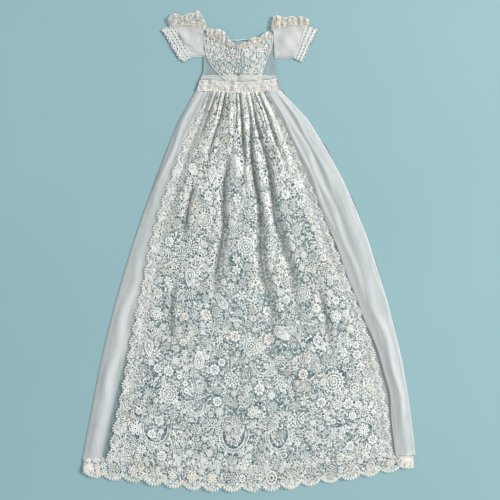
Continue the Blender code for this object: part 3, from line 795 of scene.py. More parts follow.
def bars(target, centres, longest, width, rng, chance=1.0, low=0.05):
    """Thin corded bars from each motif to its neighbours, some with a picot at the middle."""
    places = [Vector((x, y)) for x, y, _ in centres]
    edges = delaunay_2d_cdt(places, [], [], 0, 0.001)[1]
    near = np.array(centres)
    for a, b in edges:
        if a >= len(near) or b >= len(near):
            continue
        start, end = near[a, :2], near[b, :2]
        gap = np.linalg.norm(end - start)
        if gap < 1e-6 or gap - near[a, 2] - near[b, 2] > longest or rng.random() > chance:
            continue
        ahead = (end - start) / gap
        first = start + ahead * max(near[a, 2] * 0.8, 0.0)
        last = end - ahead * max(near[b, 2] * 0.8, 0.0)
        side = np.array((-ahead[1], ahead[0]))
        middle = (first + last) / 2 + side * rng.uniform(-0.12, 0.12) * gap
        target.ribbon([first, middle, last], width, 0.35, low)
        if rng.random() < 0.35:
            target.filled(circle(width * 0.9, 4, middle + side * width * 0.8), low + 0.05, low + 0.35)


def finish_lace(name, drawn, place, material, folds=None, share=190000):
    """Lays drawn lace on its cloth by place(across, along, height), in as many pieces as it needs."""
    points, faces = drawn.arrays()
    tints = drawn.shades()
    x, y, z = place(points[:, 0], points[:, 1], points[:, 2])
    laid = np.stack([x, y, z], axis=1)
    triangles = np.where(faces[:, 3] < 0, 1, 2)
    group = (np.cumsum(triangles) - 1) // share
    things = []
    for number in range(int(group.max()) + 1):
        part = faces[group == number]
        used = np.unique(part[part >= 0])
        lookup = np.full(len(points), -1)
        lookup[used] = np.arange(len(used))
        lists = [[int(lookup[v]) for v in face if v >= 0] for face in part]
        corners = laid[[f[:3] for f in part.tolist()]]
        up = np.cross(corners[:, 1] - corners[:, 0], corners[:, 2] - corners[:, 0])[:, 2]
        lists = [face[::-1] if lift < 0 else face for face, lift in zip(lists, up)]
        label = name if int(group.max()) == 0 else "%s_%d" % (name, number + 1)
        # folds gives each thread vertex its painted crease shade, stored as the fold attribute.
        things.append(made(label, laid[used], lists, material, tint=tints[used],
                           fold=np.zeros(len(used)) if folds is None else folds(points[used])))
    return things


# --- Skirt ---------------------------------------------------------------------------------

def extended(places, values, first, last, reach=60.0):
    """An edge read only between two indices and carried on straight past both."""
    p = places[first:last + 1]
    v = values[first:last + 1]
    k = 8
    start = v[0] - (v[k] - v[0]) / (p[k] - p[0]) * reach
    end = v[-1] + (v[-1] - v[-1 - k]) / (p[-1] - p[-1 - k]) * reach
    return np.concatenate([[p[0] - reach], p, [p[-1] + reach]]), np.concatenate([[start], v, [end]])


class Gore:
    """Plan of a skirt panel: along runs from the waist to the hem, across from left to right."""

    def __init__(self, name, tuck=0.0):
        self.tuck = tuck
        sides = Sections(name, -90.0, 300)
        ends = Sections(name, 0.0, 300)
        first = int(np.searchsorted(sides.places, sides.start + 9.0))
        last = int(np.searchsorted(sides.places, sides.end - 42.0))
        self.left = extended(sides.places, sides.low, first, last)
        self.right = extended(sides.places, sides.high, first, last)
        top = sides.start + 6.0
        bottom = sides.end - 18.0
        u = np.linspace(0, 1, 60)
        x_top = self.read(self.left, top) + u * (self.read(self.right, top) - self.read(self.left, top))
        low_left = self.read(self.left, bottom)
        low_right = self.read(self.right, bottom)
        x_low = low_left + u * (low_right - low_left)
        self.u = u
        self.top = np.interp(x_top[3:-3], ends.places, ends.high)
        self.top = np.interp(u, u[3:-3], self.top)
        self.low = np.interp(x_low[1:-1], ends.places, ends.low)
        self.low = np.interp(u, u[1:-1], self.low)

    @staticmethod
    def read(edge, place):
        return np.interp(place, edge[0], edge[1])

    def plan(self, along, across):
        top = np.interp(across, self.u, self.top) + self.tuck
        low = np.interp(across, self.u, self.low)
        y = top + (low - top) * along
        left = self.read(self.left, -y)
        right = self.read(self.right, -y)
        return left + (right - left) * across, y

    def width(self, along):
        left = self.plan(along, np.zeros_like(along))[0]
        right = self.plan(along, np.ones_like(along))[0]
        return right - left


Gather = namedtuple("Gather", "top end start stop width height")

# Fine gathers of the lace panel below the waistband, by the fraction of its width where each
# begins and ends, and the millimetres from the waist between which it stands up.
GATHERS = (
    Gather(top=0.03, end=0.02, start=-30, stop=95, width=0.028, height=1.4),
    Gather(top=0.125, end=0.09, start=-30, stop=75, width=0.032, height=1.4),
    Gather(top=0.215, end=0.18, start=-30, stop=110, width=0.033, height=1.6),
    Gather(top=0.31, end=0.29, start=-30, stop=90, width=0.032, height=1.5),
    Gather(top=0.395, end=0.37, start=-30, stop=420, width=0.042, height=2.5),
    Gather(top=0.475, end=0.455, start=-30, stop=290, width=0.038, height=2.1),
    Gather(top=0.565, end=0.565, start=-30, stop=360, width=0.042, height=2.3),
    Gather(top=0.64, end=0.66, start=-30, stop=470, width=0.045, height=2.5),
    Gather(top=0.735, end=0.765, start=-30, stop=330, width=0.038, height=2.0),
    Gather(top=0.825, end=0.86, start=-30, stop=240, width=0.038, height=2.0),
    Gather(top=0.915, end=0.945, start=-30, stop=170, width=0.035, height=1.7),
    Gather(top=0.24, end=0.22, start=300, stop=560, width=0.035, height=1.6),
    Gather(top=0.36, end=0.35, start=430, stop=700, width=0.040, height=1.3),
    Gather(top=0.70, end=0.73, start=400, stop=690, width=0.038, height=1.7),
    Gather(top=0.83, end=0.85, start=560, stop=840, width=0.040, height=1.4),
    Gather(top=0.13, end=0.12, start=540, stop=820, width=0.036, height=1.4),
)


def gathered(rows, across, down):
    """Height that soft ridges add, each fading in and out along its length."""
    height = np.zeros_like(across)
    for row in rows:
        part = (down - row.start) / (row.stop - row.start)
        shows = smooth(part * 4.0) * smooth((1.0 - part) * 2.2)
        centre = row.top + (row.end - row.top) * np.clip(part, 0, 1)
        drift = 0.35 * row.width * np.sin(down / 23.0 + row.top * 40.0)
        height = np.maximum(height, row.height * shows * bell(across - centre - drift, row.width))
    return height


PANEL = Gore("lace_panel")
PANEL_RELIEF = Relief(["lace_panel"], 4.0, 2)
ROWS = np.linspace(0, 1, 120)
EASE = 1.0 + WAIST_GATHER * np.exp(-ROWS * SKIRT_LENGTH / GATHER_REACH) + PANEL_EASE
FLAT_WIDTHS = PANEL.width(ROWS) * EASE


def flat_width(down):
    return np.interp(down / SKIRT_LENGTH, ROWS, FLAT_WIDTHS)


Valley = namedtuple("Valley", "top end start stop width depth")

# Deep creases between the gathers, by the fraction of the panel's width where each begins and
# ends, and the millimetres from the waist between which it shows.
VALLEYS = (
    Valley(top=0.10, end=0.05, start=-40, stop=150, width=0.040, depth=5.0),
    Valley(top=0.26, end=0.19, start=-40, stop=235, width=0.042, depth=8.0),
    Valley(top=0.40, end=0.335, start=110, stop=560, width=0.044, depth=8.5),
    Valley(top=0.55, end=0.53, start=-40, stop=230, width=0.036, depth=8.0),
    Valley(top=0.645, end=0.585, start=-40, stop=690, width=0.042, depth=9.5),
    Valley(top=0.735, end=0.75, start=-40, stop=610, width=0.042, depth=9.5),
    Valley(top=0.88, end=0.92, start=-40, stop=200, width=0.040, depth=6.0),
    Valley(top=0.15, end=0.12, start=205, stop=380, width=0.036, depth=4.4),
    Valley(top=0.135, end=0.13, start=430, stop=640, width=0.030, depth=3.6),
    Valley(top=0.865, end=0.86, start=450, stop=640, width=0.030, depth=3.6),
    Valley(top=0.335, end=0.31, start=-40, stop=95, width=0.020, depth=3.6),
    Valley(top=0.47, end=0.455, start=-40, stop=130, width=0.020, depth=3.8),
    Valley(top=0.815, end=0.85, start=-40, stop=150, width=0.022, depth=3.8),
    Valley(top=0.185, end=0.15, start=-40, stop=90, width=0.020, depth=3.2),
    Valley(top=0.46, end=0.44, start=560, stop=760, width=0.018, depth=1.4),
    Valley(top=0.66, end=0.68, start=640, stop=820, width=0.018, depth=1.3),
)


def creased(rows, across, down):
    """How deep the creases cut, and from 0 to 1 how much painted shade darkens the lace there: more the
    further into a deep crease a place lies.
    """
    depth = np.zeros_like(across)
    inside = np.zeros_like(across)
    for row in rows:
        part = (down - row.start) / (row.stop - row.start)
        shows = smooth(part * 5.0) * smooth((1.0 - part) * 2.0)
        centre = row.top + (row.end - row.top) * np.clip(part, 0, 1)
        drift = 0.3 * row.width * np.sin(down / 37.0 + row.top * 30.0)
        near = np.clip(1.0 - np.abs(across - centre - drift) / row.width, 0, 1)
        depth = np.maximum(depth, row.depth * shows * near ** 1.4)
        # dark: the painted crease shade is weaker near the waist.
        dark = 0.6 + 0.4 * smooth(down / 260.0)
        inside = np.maximum(inside, np.minimum(row.depth / 4.5, 1.0) * dark * shows * near ** 2)
    return depth, inside


def crumple(x, y):
    """Small uneven puckers that any washed cloth keeps."""
    first = np.sin(x / 7.3 + 1.7 * np.sin(y / 19.0)) * np.sin(y / 11.9 + 1.3 * np.sin(x / 23.0))
    second = np.sin((x + 0.6 * y) / 13.7 + 2.0 * np.sin((y - x) / 31.0))
    return 0.45 * first + 0.45 * second


def panel_height(across, along, x, y):
    down = along * SKIRT_LENGTH
    body = smooth(np.minimum(across, 1.0 - across) / 0.05)
    swell = 4.2 * np.exp(-down / 260.0) * body
    height = PANEL_RELIEF.at(x, y) + gathered(GATHERS, across, down) + swell + crumple(x, y) * body
    return np.maximum(height - creased(VALLEYS, across, down)[0], 3.2)


# Painted crease shade for the panel's threads.
def panel_crease_shade(points):
    across = points[:, 0] / flat_width(points[:, 1]) + 0.5
    return creased(VALLEYS, across, points[:, 1])[1]


def on_panel(s, down, height):
    """From flat lace, millimetres from its middle and down from the waist, to the laid panel."""
    along = np.clip(down / SKIRT_LENGTH, 0, 1)
    across = np.clip(s / flat_width(down) + 0.5, 0, 1)
    x, y = PANEL.plan(along, across)
    return x, y, panel_height(across, along, x, y) + height


def inside_panel(margin):
    return lambda s, down: ((np.abs(s) < flat_width(down) / 2 - margin) & (down > margin * 0.4)
                            & (down < SKIRT_LENGTH - margin * 0.4))


Motif = namedtuple("Motif", "shape x down size turn")

# The panel's chief motifs: plan millimetres from the panel's middle line and down from the waist.
CHIEF = (
    Motif("medallion", -79, 297, 20, 0.0), Motif("medallion", 13, 354, 23, 0.4),
    Motif("medallion", 143, 469, 21, 0.2), Motif("medallion", 26, 584, 22, 0.9),
    Motif("medallion", 214, 681, 27, 0.1), Motif("wheel", 262, 700, 12, 0.0),
    Motif("wheel", 222, 735, 11, 0.5), Motif("medallion", -163, 704, 24, 0.2),
    Motif("ring", -138, 662, 6, 0.0), Motif("ring", -124, 676, 6, 0.0), Motif("ring", -122, 693, 6, 0.0),
    Motif("paisley", -66, 190, 19, 0.3), Motif("paisley", 58, 250, 20, -0.4),
    Motif("paisley", -116, 430, 22, 0.5), Motif("paisley", 92, 560, 22, -0.5),
    Motif("paisley", -40, 480, 21, 2.8), Motif("paisley", -210, 600, 21, 0.3),
    Motif("paisley", 180, 590, 21, -0.3), Motif("paisley", -90, 620, 22, 3.5),
    Motif("bloom7", -10, 160, 15, 0.3), Motif("bloom7", 50, 120, 13, 0.1),
    Motif("bloom7", -30, 265, 15, 0.9), Motif("double", 70, 350, 16, 0.2),
    Motif("dome", -110, 360, 15, 0.5), Motif("double", 60, 450, 17, 0.0),
    Motif("double", -60, 545, 17, 0.4), Motif("dome", -20, 660, 17, 0.2),
    Motif("double", 90, 670, 18, 0.6), Motif("bloom7", -190, 520, 16, 0.0),
    Motif("bloom7", 220, 530, 15, 0.5), Motif("dome", 130, 760, 18, 0.1),
    Motif("double", -60, 770, 18, 0.3), Motif("bloom7", -240, 790, 16, 0.2),
    Motif("bloom7", 282, 800, 15, 0.2), Motif("bloom7", 30, 735, 15, 0.0),
)

Scroll = namedtuple("Scroll", "x down reach drop width")

# Hanging scrolls: U-shaped bands of bars between two cords, by the middle of the U.
SCROLLS = (
    Scroll(x=-195, down=806, reach=38, drop=44, width=8), Scroll(x=-15, down=806, reach=36, drop=46, width=8),
    Scroll(x=87, down=810, reach=32, drop=44, width=8), Scroll(x=190, down=806, reach=28, drop=30, width=8),
    Scroll(x=-100, down=735, reach=26, drop=30, width=8), Scroll(x=52, down=640, reach=26, drop=28, width=8),
    Scroll(x=-70, down=400, reach=20, drop=28, width=7), Scroll(x=110, down=395, reach=20, drop=28, width=7),
)
OPEN_REACH = 30.0   # scrolls wider than this hang clear of the lace inside them


def to_flat(x, down):
    """A plan place on the panel, from the middle of the waist, as flat lace coordinates."""
    along = np.array(down / SKIRT_LENGTH)
    width = float(PANEL.width(along))
    drift = float(PANEL.plan(along, np.array(0.5))[0]) - WAIST_MIDDLE
    return (x - drift) / width * float(flat_width(np.array(down))), down


def draw_scroll(target, s, down, row):
    """A U of two cords with close bars across, on which florets hang."""
    turn = np.linspace(-0.15, math.pi + 0.15, 15)
    outer = np.stack([s - row.reach * np.cos(turn), down - row.drop / 2 + row.drop * np.sin(turn)], axis=1)
    inner = np.stack([s - (row.reach - row.width) * np.cos(turn),
                      down - row.drop / 2 + (row.drop - row.width) * np.sin(turn)], axis=1)
    for line in (outer, inner):
        target.ribbon(line, 1.7, 0.6, 0.4)
    for index in range(14):
        for part in (0.0, 0.5):
            a = outer[index] * (1 - part) + outer[index + 1] * part
            b = inner[index] * (1 - part) + inner[index + 1] * part
            target.ribbon([a, b], 1.0, 0.25, 0.25)
    for index in range(1, 14, 2):
        ahead = outer[index] - inner[index]
        place = outer[index] + ahead / np.linalg.norm(ahead) * 3.2
        stamp(target, "plump4", place[0], place[1], 2.7, index)
    return [((p[0] + q[0]) / 2, (p[1] + q[1]) / 2, row.width * 0.75) for p, q in zip(outer[::2], inner[::2])]


PANEL_SORTS = (
    Sort(12.0, 260, ("dome", "double", "plump6", "dome", "wreath"), 1.3, 1.0),
    Sort(9.0, 700, ("wreath", "dome", "plump6", "double", "bloom7", "dome"), 1.2, 1.0),
    Sort(6.8, 1700, ("bloom5", "wreath", "plump6", "spray", "plump5", "open_leaf"), 1.1, 1.0),
    Sort(5.2, 4200, ("bend", "hook", "leaf", "plump5", "wreath", "wide_hook"), 1.0, 1.0),
    Sort(4.0, 8500, ("bend", "hook", "bend", "plump5", "leaf", "wide_hook"), 1.0, 1.0),
    Sort(3.0, 14000, ("hook", "bend", "wide_hook", "plump4", "hook"), 0.95, 1.0),
    Sort(2.2, 10000, ("hook", "wide_hook", "bend"), 1.0, 1.0),
)


def draw_panel():
    rng = random.Random(11)
    drawn = Threads()
    half = float(FLAT_WIDTHS.max()) / 2
    field = Field((-half, 0.0), (half, SKIRT_LENGTH), inside_panel(1.0))
    centres = []
    for row in CHIEF:
        s, down = to_flat(row.x, row.down)
        stamp(drawn, row.shape, s, down, row.size, row.turn, 1.0, 0.1, 1.5)
        if row.shape == "paisley":
            for part in (-0.62, -0.3, 0.0, 0.3, 0.62):
                field.take(s - math.sin(row.turn) * part * row.size,
                           down + math.cos(row.turn) * part * row.size,
                           row.size * (0.5 if part < 0.3 else 0.28))
            continue
        field.take(s, down, row.size * 1.06)
        centres.append((s, down, row.size))
    openings = []
    for row in SCROLLS:
        s, down = to_flat(row.x, row.down)
        for turn in np.linspace(0.0, math.pi, 20) if row.reach > OPEN_REACH else ():
            inner = (s - (row.reach - row.width - 4.0) * math.cos(turn),
                     down - row.drop / 2 + (row.drop - row.width - 4.0) * math.sin(turn))
            openings.append((*inner, 2.2))
            field.take(*inner, 1.8)
        for x, y, radius in draw_scroll(drawn, s, down, row):
            field.take(x, y, radius)
            centres.append((x, y, radius * 0.8))

    def keep(s, down, radius):
        """The ground opens out in the lower middle, where fewer small motifs lie."""
        openness = math.exp(-(((s - 10) / 120.0) ** 2 + ((down - 690) / 120.0) ** 2))
        return rng.random() > openness * (0.2 if radius > 5.5 else 0.45)

    pack(field, PANEL_SORTS, rng, drawn, centres, keep, 1.25)
    bars(drawn, centres, 3.6, 0.7, rng, 0.5)
    # The lace is creamier near the waist.
    drawn.tints = [tint + 0.32 * np.exp(-(part[:, 1] / 250.0) ** 2)
                   for tint, part in zip(drawn.tints, drawn.points)]
    return drawn, openings


def make_panel(lace, net):
    drawn, openings = draw_panel()
    threads = finish_lace("lace_panel_threads", drawn, on_panel, lace, panel_crease_shade)

    def height(along, across, x, y):
        return panel_height(across, along, x, y) - 0.15

    def dense(along, across, x, y):
        """The ground closes up where it is gathered and at the hem, and is left open inside the scrolls."""
        down = along * SKIRT_LENGTH
        closed = np.maximum(0.30 * np.exp(-(down / 190.0) ** 1.5), 0.08 * smooth((down - 850.0) / 15.0))
        covered = np.zeros_like(along)
        s = (across - 0.5) * flat_width(down)
        closed = closed - 0.06 * np.exp(-((s - 10.0) / 150.0) ** 2 - ((down - 690.0) / 150.0) ** 2)
        for place_s, place_down, radius in openings:
            near = (np.abs(s - place_s) < radius) & (np.abs(down - place_down) < radius)
            gap = np.hypot(s[near] - place_s, down[near] - place_down)
            covered[near] = np.maximum(covered[near], smooth((radius - gap) / 3.0 + 0.5))
        return closed - 0.34 * covered

    # Painted crease shade for the panel's ground.
    def shaded(along, across):
        return creased(VALLEYS, across, along * SKIRT_LENGTH)[1]

    base = cloth("lace_panel_ground", PANEL.plan, 320, 210, height, net, dense, fold=shaded)
    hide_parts("lace_panel")


# --- Edgings of the lace panel -------------------------------------------------------------

EDGING_WIDTH = 24.0
EDGING_PITCH = 33.4
EDGING_LOBES = 26


def scallops(drawn, length, depth, pitch, dip, seed, sorts, tint, round_size=3.0):
    """A scalloped border: packed motifs, a cord along the scallops and close rounds outside it."""
    rng = random.Random(seed)
    wobble = [rng.uniform(-1.0, 1.0) for _ in range(int(length / pitch) + 2)]

    def reach(s):
        place = np.clip(s / pitch, 0, len(wobble) - 1.001)
        swing = np.abs(np.sin(math.pi * place))
        uneven = np.interp(place, range(len(wobble)), wobble)
        return depth - dip * (1.0 - swing ** 0.7) + uneven * 1.5 - round_size

    def inside(s, out):
        return (out > -5.0) & (out < reach(s) - 0.6) & (s > 0.5) & (s < length - 0.5)

    field = Field((0.0, -5.0), (length, depth), inside, 0.8)
    centres = []
    for number in range(int(round(length / pitch))):
        middle = (number + 0.5) * pitch
        size = depth * 0.27 * rng.uniform(0.85, 1.1)
        drawn.tint = tint * rng.uniform(0.5, 1.0)
        shape = rng.choice(("dome", "wreath", "double", "bloom6", "wheel", "dome"))
        place = depth * 0.47 + rng.uniform(-1.5, 1.5)
        stamp(drawn, shape, middle, place, size, rng.uniform(0, 6), 1.0, 0.2, 1.3)
        field.take(middle, place, size + 0.7)
        centres.append((middle, place, size))
    pack(field, sorts, rng, drawn, centres, thick=1.15)
    bars(drawn, centres, 2.6, 0.7, rng, 0.5)
    places = [0.0]
    while places[-1] < length:
        slope = (reach(places[-1] + 0.5) - reach(places[-1] - 0.5))
        places.append(places[-1] + round_size * 1.55 / math.hypot(1.0, float(slope)))
    for place in places:
        drawn.tint = tint * rng.uniform(0.4, 1.0)
        out = float(reach(place))
        ahead = math.atan2(float(reach(place + 0.8) - reach(place - 0.8)), 1.6) + math.pi / 2
        line = petal_line(-0.2 * round_size, round_size * rng.uniform(0.9, 1.15), round_size * 0.62, ahead, 8)
        drawn.filled(line + np.array((place, out)), 0.25, 1.1)
    fine = np.linspace(0.0, length, int(length / 2.2))
    drawn.tint = tint * 0.4
    drawn.ribbon(np.stack([fine, reach(fine) - 0.8], axis=1), 1.3, 0.6, 0.4)
    drawn.tint = 0.0


BORDER_SORTS = (
    Sort(4.6, 900, ("bloom5", "plump6", "curl", "wreath", "leaf"), 0.7, 1.0),
    Sort(3.3, 3000, ("plump5", "bend", "ring", "hook", "leaf"), 0.6, 1.0),
    Sort(2.3, 7000, ("hook", "trefoil", "ring", "bud"), 0.55, 1.0),
    Sort(1.5, 8000, ("bud", "wide_hook"), 0.5, 1.0),
)


def draw_edging(seed):
    drawn = Threads()
    scallops(drawn, EDGING_PITCH * EDGING_LOBES, EDGING_WIDTH, EDGING_PITCH, 11.5, seed, BORDER_SORTS,
             0.3, 3.7)
    return drawn


def make_edging(side, lace, net):
    """side is 0 for the left edge of the panel and 1 for the right."""
    name = ("edging_left", "edging_right")[side]
    sign = (-1, 1)[side]
    relief = Relief([name], 3.0, 1)
    length = EDGING_PITCH * EDGING_LOBES

    def fade(down):
        return 0.5 + 0.5 * smooth(down / 105.0)

    def lay(down, out):
        along = np.clip(down / length, 0, 1)
        x, y = PANEL.plan(along, np.full_like(along, float(side)))
        curl = 1.3 * np.sin(down / 21.0 + 2.0 * side) + 0.8 * np.sin(down / 9.0)
        z = relief.at(x + sign * 8.0, y) + (0.9 + curl * 0.5) * smooth(out / 14.0)
        return x + sign * (out * fade(down) + 0.3), y - out * 0.12, z

    def place(s, out, height):
        x, y, z = lay(s, out)
        return x, y, z + height

    def plan(along, across):
        return lay(along * length, (EDGING_WIDTH - 1.0) * across - 5.0)[:2]

    def height(along, across, x, y):
        return lay(along * length, (EDGING_WIDTH - 1.0) * across - 5.0)[2] - 0.1

    threads = finish_lace(name + "_threads", draw_edging(30 + side), place, lace)

    def dense(along, across, x, y):
        return 0.12 - 0.1 * across

    base = cloth(name + "_ground", plan, 260, 5, height, net, dense)
    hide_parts(name)


# --- Hem band ------------------------------------------------------------------------------

HEM_PITCH = 45.5
HEM_DEPTH = 44.0
HEM_SORTS = (
    Sort(7.4, 300, ("bloom6", "wreath", "plump6", "dome"), 0.8, 1.0),
    Sort(5.4, 1200, ("bloom5", "curl", "leaf", "plump5", "wreath"), 0.7, 1.0),
) + BORDER_SORTS[1:]


def draw_hem(seed, length):
    drawn = Threads()
    scallops(drawn, length, HEM_DEPTH, HEM_PITCH, 12.0, seed, HEM_SORTS, 1.25, 3.9)
    rng = random.Random(seed + 1)
    for start, span in ((0.0, 40.0), (length - 36.0, 36.0)):
        for _ in range(15):
            drawn.tint = rng.uniform(0.35, 1.0)
            place = (start + rng.uniform(3.0, span - 4.0), rng.uniform(0.0, HEM_DEPTH - 11.0))
            stamp(drawn, rng.choice(("bloom5", "plump5", "bloom6")), *place, rng.uniform(4.0, 6.5),
                  rng.uniform(0, 6), 1.0, 0.5)
    return drawn


def make_hem(name, seed, full, lace, net, lift, inside):
    outline = Sections(name, 0.0, 520, 1.0)
    tips = envelope(outline.low, 12, np.min)
    seam = envelope(outline.high, 4, np.mean)
    relief = Relief([name], 3.0, 2)
    length = outline.length
    worked = HEM_DEPTH - (9.0 if full else 17.0)
    lapped = 4.5 if full else 0.0

    def lay(s, out):
        x = outline.start + np.clip(s, 0, length)
        top = np.interp(x, outline.places, seam) + lapped
        low = np.interp(x, outline.places, tips)
        y = top + (low - top) * out / HEM_DEPTH
        wave = 1.1 * np.sin(s / 24.0 + seed) + 0.7 * np.sin(s / 10.5 + 1.3)
        return x, y, relief.at(x, y) + lift * (0.6 + wave * 0.6) * smooth(out / 30.0)

    def place(s, out, height):
        x, y, z = lay(s, out)
        return x, y, ((z + 0.7 * smooth((9.0 - out) / 6.0) + height) if full
                      else np.full_like(z, 0.15) + 0.2 * height)

    def plan(along, across):
        return lay(along * length, across * worked)[:2]

    def height(along, across, x, y):
        return lay(along * length, across * worked)[2] - 0.1

    threads = finish_lace(name + "_threads", draw_hem(seed, length), place, lace)

    def dense(along, across, x, y):
        return -0.06 + 0.10 * np.sin(along * 40.0)

    if full:
        base = cloth(name + "_ground", plan, 300, 7, height, net, dense)
    else:
        # The back hem's ground is painted dark teal shade on top, with net beneath.
        base = cloth(name + "_ground", plan, 300, 7, height, inside, under=net)
    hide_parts(name)


# --- Muslin of the skirt -------------------------------------------------------------------

BACK_FOLDS = (
    Gather(top=0.12, end=0.10, start=-30, stop=820, width=0.05, height=0.5),
    Gather(top=0.33, end=0.30, start=-30, stop=900, width=0.07, height=0.6),
    Gather(top=0.52, end=0.55, start=-30, stop=700, width=0.05, height=0.5),
    Gather(top=0.74, end=0.77, start=-30, stop=900, width=0.06, height=0.6),
)

# Soft folds of the left front muslin, by the fraction from its side fold to the lace.
LEFT_FOLDS = (
    Gather(top=0.20, end=0.16, start=-30, stop=330, width=0.14, height=1.8),
    Gather(top=0.46, end=0.42, start=-30, stop=240, width=0.12, height=1.5),
    Gather(top=0.70, end=0.64, start=-30, stop=420, width=0.12, height=1.4),
    Gather(top=0.33, end=0.30, start=300, stop=900, width=0.20, height=2.2),
)

# Soft folds of the right flap, by the fraction from its inner crease to the side fold.
RIGHT_FOLDS = (
    Gather(top=0.14, end=0.12, start=-30, stop=430, width=0.12, height=2.0),
    Gather(top=0.36, end=0.28, start=-30, stop=620, width=0.16, height=1.6),
    Gather(top=0.62, end=0.52, start=-30, stop=360, width=0.14, height=1.5),
    Gather(top=0.90, end=0.88, start=-30, stop=900, width=0.10, height=0.8),
    Gather(top=0.50, end=0.58, start=380, stop=900, width=0.24, height=1.6),
)


def make_back(inside, muslin):
    gore = Gore("skirt_back")

    def height(along, across, x, y):
        return 0.5 + gathered(BACK_FOLDS, across, along * SKIRT_LENGTH)

    # Its upper face takes the dark teal material of painted shade, seen through the lace; its under face is
    # plain muslin.
    sheet = cloth("skirt_back_muslin", gore.plan, 120, 90, height, inside, under=muslin)
    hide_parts("skirt_back")


def make_left(muslin):
    gore = Gore("skirt_front_left", 4.0)
    relief = Relief(["skirt_front_left"], 4.0, 2)

    def height(along, across, x, y):
        down = along * SKIRT_LENGTH
        roll = smooth(across / 0.045)
        folds = gathered(LEFT_FOLDS, across, down) * smooth((0.86 - across) / 0.12)
        return 0.9 + (relief.at(x, y) - 1.2 + folds) * roll

    def dense(along, across, x, y):
        down = along * SKIRT_LENGTH
        selvedge = 0.22 * smooth((0.05 - across) / 0.05)
        doubled = (0.13 * smooth((across - 0.10) / 0.12) * smooth((0.47 - across) / 0.08)
                   * smooth(down / 300.0 - 0.9))
        lower = smooth(down / 500.0 - 0.7)
        bare = ((0.22 + 0.30 * lower) * smooth((across - 0.60 + 0.16 * lower) / 0.09)
                * smooth(down / 110.0 - 0.6))
        outer = 0.03 * smooth((0.36 - across) / 0.2) * smooth((across - 0.05) / 0.05)
        # The fold crests are made more opaque, a painted highlight that shows them whiter.
        return (selvedge + doubled - bare - outer + 0.12 * gathered(LEFT_FOLDS, across, down) / 2.3
                + 0.10 * np.exp(-down / 60.0))

    sheet = cloth("skirt_left_muslin", gore.plan, 220, 70, height, muslin, dense)
    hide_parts("skirt_front_left")


def fold_creases():
    """The right muslin's side edges and the two creases of its Z fold, read down the skirt."""
    name = "skirt_front_right"
    gore = Gore(name, 5.0)
    tree = tree_of([name])
    rows = np.linspace(0.02, 0.97, 14)
    inner = []
    outer = []
    for along in rows:
        left, y = (float(value) for value in gore.plan(np.array(along), np.array(0.0)))
        right = float(gore.plan(np.array(along), np.array(1.0))[0])
        steps = np.arange(left + 1.0, right - 1.0, 0.5)
        above = [tree.ray_cast(Vector((x, y, 60.0)), Vector((0, 0, -1)))[0] for x in steps]
        below = [tree.ray_cast(Vector((x, y, -20.0)), Vector((0, 0, 1)))[0] for x in steps]
        high = [x for x, hit in zip(steps, above) if hit is not None and hit.z > 5.9]
        lifted = [x for x, hit in zip(steps, below) if hit is not None and hit.z > 3.4]
        inner.append(high[0] - left)
        outer.append(lifted[0] - left)
    return gore, rows, np.array(inner), np.array(outer)


def make_right(muslin):
    """One sheet: in under the lace edge, out to the hidden crease, back over the edging, and out to
    the side fold."""
    gore, rows, inner, outer = fold_creases()
    relief = Relief(["skirt_front_right"], 3.0, 1)
    counts = (6, 5, 46)
    total = sum(counts) + 3
    first = counts[0] + 1
    second = first + counts[1]

    def section(along, index):
        left, y = gore.plan(along, np.zeros_like(along))
        right = gore.plan(along, np.ones_like(along))[0]
        crease_in = np.interp(along, rows, inner)
        crease_out = np.interp(along, rows, outer)
        down = along * SKIRT_LENGTH
        wander = 1.6 * np.sin(down / 47.0) + 1.0 * np.sin(down / 19.0 + 1.0)
        crease_in = crease_in + wander
        under = np.clip(index / first, 0, 1)
        back = np.clip((index - first) / counts[1], 0, 1)
        out = np.clip((index - second) / (total - 1 - second), 0, 1)
        reach = right - left
        x = np.where(index <= first, under * crease_out,
                     np.where(index <= second, crease_out + (crease_in - crease_out) * back,
                              crease_in + (reach - crease_in) * out))
        top = 0.4 * gathered(RIGHT_FOLDS, out, down) + relief.at(left + x, y)
        flap = np.minimum(0.7 + out * 46.0, 1.0) * smooth((1.0 - out) / 0.035)
        rolled = 0.9 + (top - 0.9 + 0.6 * gathered(RIGHT_FOLDS, out, down)) * flap
        near = smooth(1.0 - out / 0.10)
        rolled = rolled + near * (np.maximum(rolled, 6.4) - rolled) * (out < 0.12)
        z = np.where(index <= first, 2.4, np.where(index <= second, 2.4 + 2.9 * back, rolled))
        return left + x, y, z

    def plan(along, across):
        return section(along, across * (total - 1))[:2]

    def height(along, across, x, y):
        return section(along, across * (total - 1))[2]

    def dense(along, across, x, y):
        index = across * (total - 1)
        out = np.clip((index - second) / (total - 1 - second), 0, 1)
        down = along * SKIRT_LENGTH
        crease = 0.06 * smooth(1.0 - out / 0.05)
        edge = 0.22 * smooth((out - 0.95) / 0.05)
        hidden = np.where(index < second, -0.22, 0.0)
        bare = 0.12 * smooth((0.34 - out) / 0.1) * smooth((out - 0.05) / 0.05) * smooth(down / 200.0 - 0.8)
        # The fold crests are made more opaque, a painted highlight that shows them whiter.
        return (crease + edge + hidden - bare + 0.2 * gathered(RIGHT_FOLDS, out, down) / 2.4
                + 0.10 * np.exp(-down / 60.0))

    sheet = cloth("skirt_right_muslin", plan, 220, total, height, muslin, dense)
    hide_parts("skirt_front_right")


# --- Waistband -----------------------------------------------------------------------------

